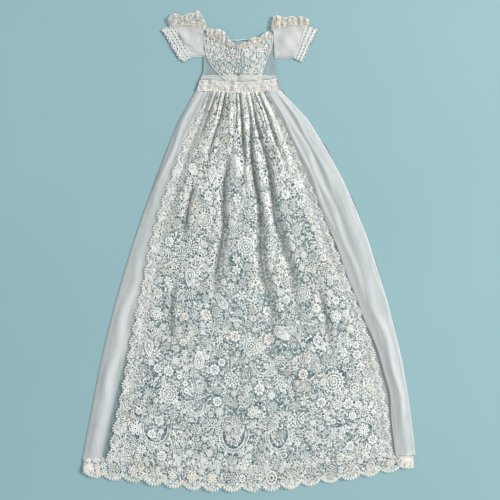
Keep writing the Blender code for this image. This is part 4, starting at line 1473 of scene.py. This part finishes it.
def make_waistband(front, band, lace):
    name = "waistband_front" if front else "waistband_back"
    outline = Sections(name, 0.0, 200, 0.5)
    relief = Relief([name], 3.0, 1)
    width = float(np.mean(outline.high - outline.low))

    def puckered(along, across, x, y):
        low = 1.0 * np.abs(np.sin(along * 118.0 + 2.0 * np.sin(along * 17.0))) * smooth((0.42 - across) / 0.3)
        high = (0.8 * np.abs(np.sin(along * 96.0 + 1.0 + 2.0 * np.sin(along * 11.0)))
                * smooth((across - 0.72) / 0.25))
        pucker = low + high + 0.35 * np.sin(along * 31.0) + 1.1 * crumple(x * 2.6, y * 3.1)
        return relief.at(x, y) + pucker * (1.0 if front else 0.0)

    sheet = cloth(name + "_cloth", outline.plan, 240 if front else 30, 22 if front else 6, puckered, band)
    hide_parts(name)
    pieces = []
    if front:
        drawn = Threads()
        for offset, size in ((0.05, 1.2), (0.94, 1.3)):
            line = np.stack([np.linspace(0.004, 0.996, 200), np.full(200, offset)], axis=1)
            drawn.ribbon(line * (outline.length, width), size, 0.7, 0.1)
        for number in range(22):
            x = (number + 0.5) / 22 * outline.length
            stamp(drawn, "plump5", x, width * 0.51, 3.1, number * 0.7, 1.0, 0.1, 1.2)
            stamp(drawn, "ring", x + outline.length / 44, width * 0.51, 1.3)

        def place(s, out, height):
            along = np.clip(s / outline.length, 0, 1)
            across = np.clip(out / width, 0, 1)
            x, y = outline.plan(along, across)
            return x, y, puckered(along, across, x, y) + height

        pieces = finish_lace(name + "_stitching", drawn, place, lace)


# --- Bodice --------------------------------------------------------------------------------

def draw_bodice_work(outline):
    """The open seam down the middle of the bodice, and rows of stitched openwork above the waist."""
    rng = random.Random(8)
    drawn = Threads()
    left = Sections("bodice_lace_left", -90.0, 60)
    right = Sections("bodice_lace_right", -90.0, 60)
    neck = Sections("bodice_front", 0.0, 200)
    middle = (left.high[30] + right.low[30]) / 2
    downs = np.arange(5.0 - float(np.interp(middle, neck.places, neck.high)), outline.end - 19.0, 4.6)
    for down in downs:
        middle = (np.interp(down, left.places, left.high) + np.interp(down, right.places, right.low)) / 2
        drawn.tint = rng.uniform(0.3, 1.0)
        for side in (-1, 1):
            place = (middle + side * rng.uniform(2.0, 4.4), -down + rng.uniform(-1.6, 1.6))
            stamp(drawn, rng.choice(("plump5", "hook", "ring", "bend", "plump4")), *place,
                  rng.uniform(1.9, 2.9),
                  rng.uniform(0, 6), 1.0, 0.2)
    for row, (above, size) in enumerate(((2.0, 1.3), (5.4, 0.9), (8.6, 0.9), (12.4, 1.3))):
        down = outline.end - above
        low = float(np.interp(down, outline.places, outline.low)) + 2.0
        high = float(np.interp(down, outline.places, outline.high)) - 2.0
        line = np.linspace(low, high, 90)
        drawn.tint = 0.2
        drawn.ribbon(np.stack([line, -down + 0.5 * np.sin(line / 6.0 + row)], axis=1), size, 0.6, 0.2)
        if row < 3:
            for place in np.arange(low, high, 3.4):
                drawn.tint = rng.uniform(0, 0.8)
                lean = rng.uniform(-0.6, 0.6)
                drawn.ribbon([(place, -down), (place + lean, -down + 1.7), (place + 1.5, -down + 3.2)],
                             1.2, 0.4, 0.2)
    return drawn


def make_bodice(muslin, inside, lace, net):
    outline = Sections("bodice_front", -90.0, 200, 0.6)
    relief = Relief(["bodice_front"], 3.0, 1)
    neck = Sections("bodice_front", 0.0, 200, 0.6)

    def neckline(along, across):
        """Down from the neck edge at each place across, so that the dip of the neck stays open."""
        x = neck.start + neck.length * across
        top = np.interp(x, neck.places, neck.high)
        low = np.interp(x, neck.places, neck.low)
        return x, top + (low - top) * along

    def folds(along, across, x, y):
        fine = 0.4 * np.sin(across * 23.0 + 2.5 * np.sin(across * 7.0) + along * 2.0)
        return relief.at(x, y) + fine * smooth(along * 3.0) * 0.8

    seam = [Sections("bodice_lace_" + side, -90.0, 60) for side in ("left", "right")]

    def dense(along, across, x, y):
        """The seam down the middle is left open in small uneven gaps."""
        middle = (np.interp(-y, seam[0].places, seam[0].high)
                  + np.interp(-y, seam[1].places, seam[1].low)) / 2
        gaps = smooth(np.sin(y / 1.9 + 1.5 * np.sin(y / 5.3)) * 1.2 + 0.6) * smooth((along - 0.3) / 0.3)
        return -0.9 * bell(x - middle, 3.4) * gaps

    sheet = cloth("bodice_front_muslin", neckline, 90, 190, folds, muslin, dense)
    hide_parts("bodice_front")
    top = Relief(["bodice_front", "bodice_lace_left", "bodice_lace_right"], 3.0, 1)

    def place(x, y, height):
        return x, y, top.at(x, y) + 0.5 + height

    pieces = finish_lace("bodice_needlework", draw_bodice_work(outline), place, lace)
    for side in ("left", "right"):
        back = Sections("bodice_back_" + side, 0.0, 80, 0.6)
        # Each back piece is painted dark teal shade on top, with plain muslin beneath.
        piece = cloth("bodice_back_%s_muslin" % side, back.plan, 30, 24,
                      lambda a, b, x, y: 0.6 + 0.0 * x, inside,
                      under=muslin)
        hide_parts("bodice_back_" + side)
        make_bodice_lace(side, lace, net)


BODICE_SORTS = (
    Sort(6.2, 200, ("bloom6", "plump6", "wheel", "curl"), 0.9, 1.0),
    Sort(4.6, 500, ("bloom5", "plump5", "leaf", "curl", "open_leaf"), 0.8, 1.0),
    Sort(3.3, 1500, ("plump5", "bend", "ring", "hook"), 0.7, 1.0),
    Sort(2.3, 3000, ("hook", "trefoil", "ring", "bud"), 0.6, 1.0),
    Sort(1.5, 3500, ("bud", "wide_hook"), 0.5, 1.0),
)


def make_bodice_lace(side, lace, net):
    name = "bodice_lace_" + side
    outline = Sections(name, -90.0, 160, 0.6)
    relief = Relief([name], 3.0, 1)
    rng = random.Random(5 if side == "left" else 6)
    drawn = Threads()
    points = node_arrays(name)[0]
    low = points[:, :2].min(0)
    high = points[:, :2].max(0)

    def inside(x, y):
        left = np.interp(-y, outline.places, outline.low)
        right = np.interp(-y, outline.places, outline.high)
        seam = 1.0 + 2.2 * smooth((y + outline.start) / -40.0)
        return ((x > left + (1.0 if side == "left" else seam))
                & (x < right - (seam if side == "left" else 1.0))
                & (-y > outline.start + 0.5) & (-y < outline.end - 0.5))

    field = Field(low, high, inside, 0.5)
    centres = []
    pack(field, BODICE_SORTS, rng, drawn, centres, thick=1.2)
    bars(drawn, centres, 2.6, 0.6, rng, 0.5)
    edge = outline.low if side == "left" else outline.high
    drawn.ribbon(np.stack([edge, -outline.places], axis=1)[2:-2:3], 1.3, 0.6, 0.3)

    def place(x, y, height):
        return x, y, relief.at(x, y) + height

    threads = finish_lace(name + "_threads", drawn, place, lace)
    base = cloth(name + "_ground", outline.plan, 50, 30, lambda a, b, x, y: relief.at(x, y) - 0.1, net,
                 lambda a, b, x, y: np.full_like(x, -0.05))
    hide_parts(name)


# --- Sleeves, cuffs and frills -------------------------------------------------------------

def make_sleeve(side, muslin):
    sign = -1 if side == "left" else 1
    for part in ("back", "front"):
        name = "sleeve_%s_%s" % (side, part)
        outline = Sections(name, -90.0, 160, 0.6)
        relief = Relief([name], 3.0, 1)

        def height(along, across, x, y):
            if part == "back":
                return 0.6 + 0.0 * x
            out = across if sign > 0 else 1.0 - across
            ends = smooth(1.0 - out * 2.6) + smooth(out * 2.6 - 1.6)
            turn = along * 33.0 + 3.0 * np.sin(along * 5.0 + out * 2.0) + 2.6 * out
            pleat = (0.7 * np.sin(turn) * ends + 1.1 * np.sin(out * 6.0 + along * 8.0 + sign)
                     + 1.7 * crumple(x * 1.2, y))
            roll = smooth(along / 0.07) * smooth((1.0 - along) / 0.07)
            return 1.0 + (relief.at(x, y) - 1.0 + pleat) * roll

        rows = 120 if part == "front" else 20
        sheet = cloth(name + "_muslin", outline.plan, rows, 40 if part == "front" else 8, height, muslin)
        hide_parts(name)


def draw_band(seed, length, depth, lobe):
    """A band of openwork: rows of small eyelets between cords, and a scalloped edge of rounds."""
    rng = random.Random(seed)
    drawn = Threads()
    size = 3.5
    rows = (0.14, 0.37, 0.60) if depth > 27.0 else (0.19, 0.56)
    for row, out in enumerate(rows):
        for place in np.arange(size, length - size * 0.5, size * 2.15):
            drawn.tint = rng.random() * 0.3
            place = place + size * (row % 2)
            stamp(drawn, "eyelet", place, depth * out, size, rng.uniform(0, 6), 1.0, 0.1)
            for side in (-1, 1):
                stamp(drawn, "plump4", place + size * 1.07, depth * out + side * 2.5, 1.9, 0.8, 1.0, 0.1)
    edges = [0.02] + [(a + b) / 2 for a, b in zip(rows, rows[1:])] + [0.71]
    for out, width in zip(edges, (1.8, 1.5, 1.5, 1.8) if len(rows) > 2 else (1.8, 2.4, 2.0)):
        line = np.stack([np.linspace(0, length, max(int(length / 2.0), 20)), ], axis=1)
        drawn.ribbon(np.hstack([line, np.full_like(line, depth * out)]), width, 0.7, 0.3)
    number = int(round(length / lobe))
    pitch = length / number
    for index in range(number):
        root = np.array(((index + 0.5) * pitch, depth * 0.72))
        drawn.tint = rng.random() * 0.5
        for petal in range(4):
            angle = math.pi * (petal + 0.5) / 4
            outline = petal_line(pitch * 0.22, min(depth * 0.28, pitch * 0.62), pitch * 0.16, angle, 8) + root
            drawn.filled(outline, 0.3, 1.1)
    return drawn


def draw_ruffle(seed, length, depth):
    """A gathered frill: a close edge of rounds and uneven rows of small strokes."""
    rng = random.Random(seed)
    drawn = Threads()
    for place in np.arange(1.0, length, 3.1):
        drawn.tint = rng.uniform(0.0, 0.9)
        size = rng.uniform(2.4, 4.6)
        drawn.filled(petal_line(0, size, 1.9, math.pi / 2, 7) + np.array((place, depth - 0.9 * size)),
                     0.3, 1.1)
    for place in np.arange(1.5, length, 4.0):
        for out in (0.12, 0.34, 0.55, 0.76):
            drawn.tint = rng.uniform(0.0, 1.0)
            stamp(drawn, rng.choice(("hook", "plump5", "ring", "bend", "plump4")),
                  place + rng.uniform(-1.3, 1.3),
                  depth * out + rng.uniform(-1.2, 1.2), rng.uniform(1.8, 2.9), rng.uniform(0, 6), 1.0, 0.1)
    return drawn


def make_band(name, angle, outer, seed, lobe, ripple, lace, net, flutes=0,
              fullness=1.0,
              inside=None):
    """A lace strip on a CAD node; outer is which edge of its sections hangs free, 1 high or -1 low."""
    outline = Sections(name, angle, 220, 0.6)
    free = envelope(outline.high if outer > 0 else outline.low, 5, np.max if outer > 0 else np.min)
    seam = envelope(outline.low if outer > 0 else outline.high, 3, np.mean)
    relief = Relief([name], 2.5, 1)
    depth = float(np.mean(np.abs(free - seam)))
    length = outline.length * fullness

    def lay(s, out):
        at = outline.start + outline.length * np.clip(s / length, 0, 1)
        a = np.interp(at, outline.places, seam)
        b = np.interp(at, outline.places, free)
        if flutes:
            b = b + outer * (0.7 * np.sin(s / 2.9 + seed)
                             + 1.7 * np.sin(s / 7.1 + 1.6 * np.sin(s / 23.0 + seed)))
        value = a + (b - a) * out / depth
        x = at * outline.axis[0] + value * outline.side[0]
        y = at * outline.axis[1] + value * outline.side[1]
        swing = 0.0
        if flutes:
            turn = s / length * flutes * TAU
            swing = np.sin(turn + 1.9 * np.sin(turn * 0.37 + seed)) + 0.5 * np.sin(turn * 1.7 + 1.0)
        z = relief.at(x, y) + ripple * swing * (0.25 + 0.75 * out / depth)
        if flutes:
            z = z + 0.9 * crumple(x * 1.8, y * 1.8)
        return x, y, np.maximum(z, 0.8)

    def place(s, out, height):
        x, y, z = lay(s, out)
        return x, y, z + height if inside is None else 0.15 + 0.2 * height

    def plan(along, across):
        return lay(along * length, across * depth * 0.93)[:2]

    def height(along, across, x, y):
        return lay(along * length, across * depth * 0.93)[2] - 0.1

    drawn = draw_ruffle(seed, length, depth) if flutes else draw_band(seed, length, depth, lobe)

    # Painted shade in the troughs of the frill's flutes, fainter towards the free edge; none on flat bands.
    def folds(points):
        turn = points[:, 0] / length * flutes * TAU
        swing = np.sin(turn + 1.9 * np.sin(turn * 0.37 + seed)) + 0.5 * np.sin(turn * 1.7 + 1.0)
        return (smooth(-swing * 0.5) * (0.34 - 0.3 * np.clip(points[:, 1] / depth, 0, 1)) if flutes
                else turn * 0.0)

    def dense(along, across, x, y):
        return np.full_like(along, 0.1 if flutes else -0.2)

    threads = finish_lace(name + "_threads", drawn, place, lace, folds)
    if inside is None:
        base = cloth(name + "_ground", plan, 160, 8, height, net, dense)
    else:
        # The back cuff's ground is painted dark teal shade on top, with net beneath.
        base = cloth(name + "_ground", plan, 160, 8, lambda a, b, x, y: 0.8 + 0.0 * x, inside, under=net)
    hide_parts(name)


# --- Neck string ---------------------------------------------------------------------------

def make_string(cotton):
    curve = bpy.data.curves.new("neck_string_cord", "CURVE")
    curve.dimensions = "3D"
    curve.bevel_depth = CORD_RADIUS
    curve.bevel_resolution = 3
    curve.use_fill_caps = True
    spline = curve.splines.new("POLY")
    knots = np.array(STRING)
    fine = np.linspace(0, len(knots) - 1, 46)
    x = np.interp(fine, range(len(knots)), knots[:, 0]) * MM + CORD_BASE[0]
    y = np.interp(fine, range(len(knots)), knots[:, 1]) * MM + CORD_BASE[1]
    spline.points.add(len(fine) - 1)
    knot = np.array(STRING[3]) * MM + CORD_BASE
    for index, point in enumerate(spline.points):
        near = max(0.0, 1.0 - math.hypot(x[index] - knot[0], y[index] - knot[1]) / 0.004)
        point.co = (x[index], y[index], STRING_HEIGHT * MM, 1.0)
        point.radius = 1.0 + 0.8 * near
    cord = bpy.data.objects.new("neck_string_cord", curve)
    bpy.context.scene.collection.objects.link(cord)
    curve.materials.append(cotton)
    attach(cord, "root")
    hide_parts("neck_string")


def main():
    make_stage()
    muslin = muslin_material("muslin", 0.70, (0.54, 0.585, 0.59))
    bluish = muslin_material("muslin_bodice", 0.74, (0.26, 0.365, 0.385))
    # Painted shade: a dark teal muslin for the upper faces of under layers, standing in for the shade between
    # layers seen through the lace.
    inside = muslin_material("muslin_painted_shade", 0.99, (0.004, 0.130, 0.155))
    fine = muslin_material("muslin_sleeve", 0.84, (0.54, 0.565, 0.565))
    lace = lace_material("needle_lace", (0.97, 1.0, 0.99), (0.75, 0.80, 0.78), (0.98, 0.86, 0.75))
    band = lace_material("insertion", (0.76, 0.735, 0.705), (0.40, 0.375, 0.35), (0.96, 0.89, 0.86), 380.0)
    net = net_material("net_ground", (0.90, 0.93, 0.915), (0.62, 0.66, 0.64))
    frill = lace_material("frill_lace", (0.97, 0.96, 0.93), (0.66, 0.61, 0.54), (0.95, 0.85, 0.72), 700.0)
    frill_net = net_material("frill_ground", (0.88, 0.87, 0.83), (0.56, 0.51, 0.43), 260.0)
    cotton = lace_material("cord", (0.88, 0.88, 0.85), (0.66, 0.66, 0.62), (0.95, 0.92, 0.88), 1800.0)
    make_string(cotton)
    make_back(inside, muslin)
    make_left(muslin)
    make_right(muslin)
    make_panel(lace, net)
    make_edging(0, lace, net)
    make_edging(1, lace, net)
    make_hem("hem_lace_back", 71, False, lace, net, 0.0, inside)
    make_hem("hem_lace_front", 72, True, lace, net, 1.5, inside)
    make_waistband(False, band, lace)
    make_waistband(True, band, lace)
    make_bodice(bluish, inside, lace, net)
    for side, angle in (("left", -59.0), ("right", 63.0)):
        make_sleeve(side, fine)
        for part in ("back", "front"):
            make_band("cuff_%s_%s" % (side, part), angle, -1, 81, 9.0, 0.0, lace, net,
                      inside=inside if part == "back" else None)
        make_band("shoulder_frill_" + side, 0.0, 1, 91, 8.0, 1.0, frill, frill_net,
                  4, 1.35)
    make_band("neck_frill", 0.0, 1, 95, 7.0, 0.9, frill, frill_net, 9, 1.3)


main()
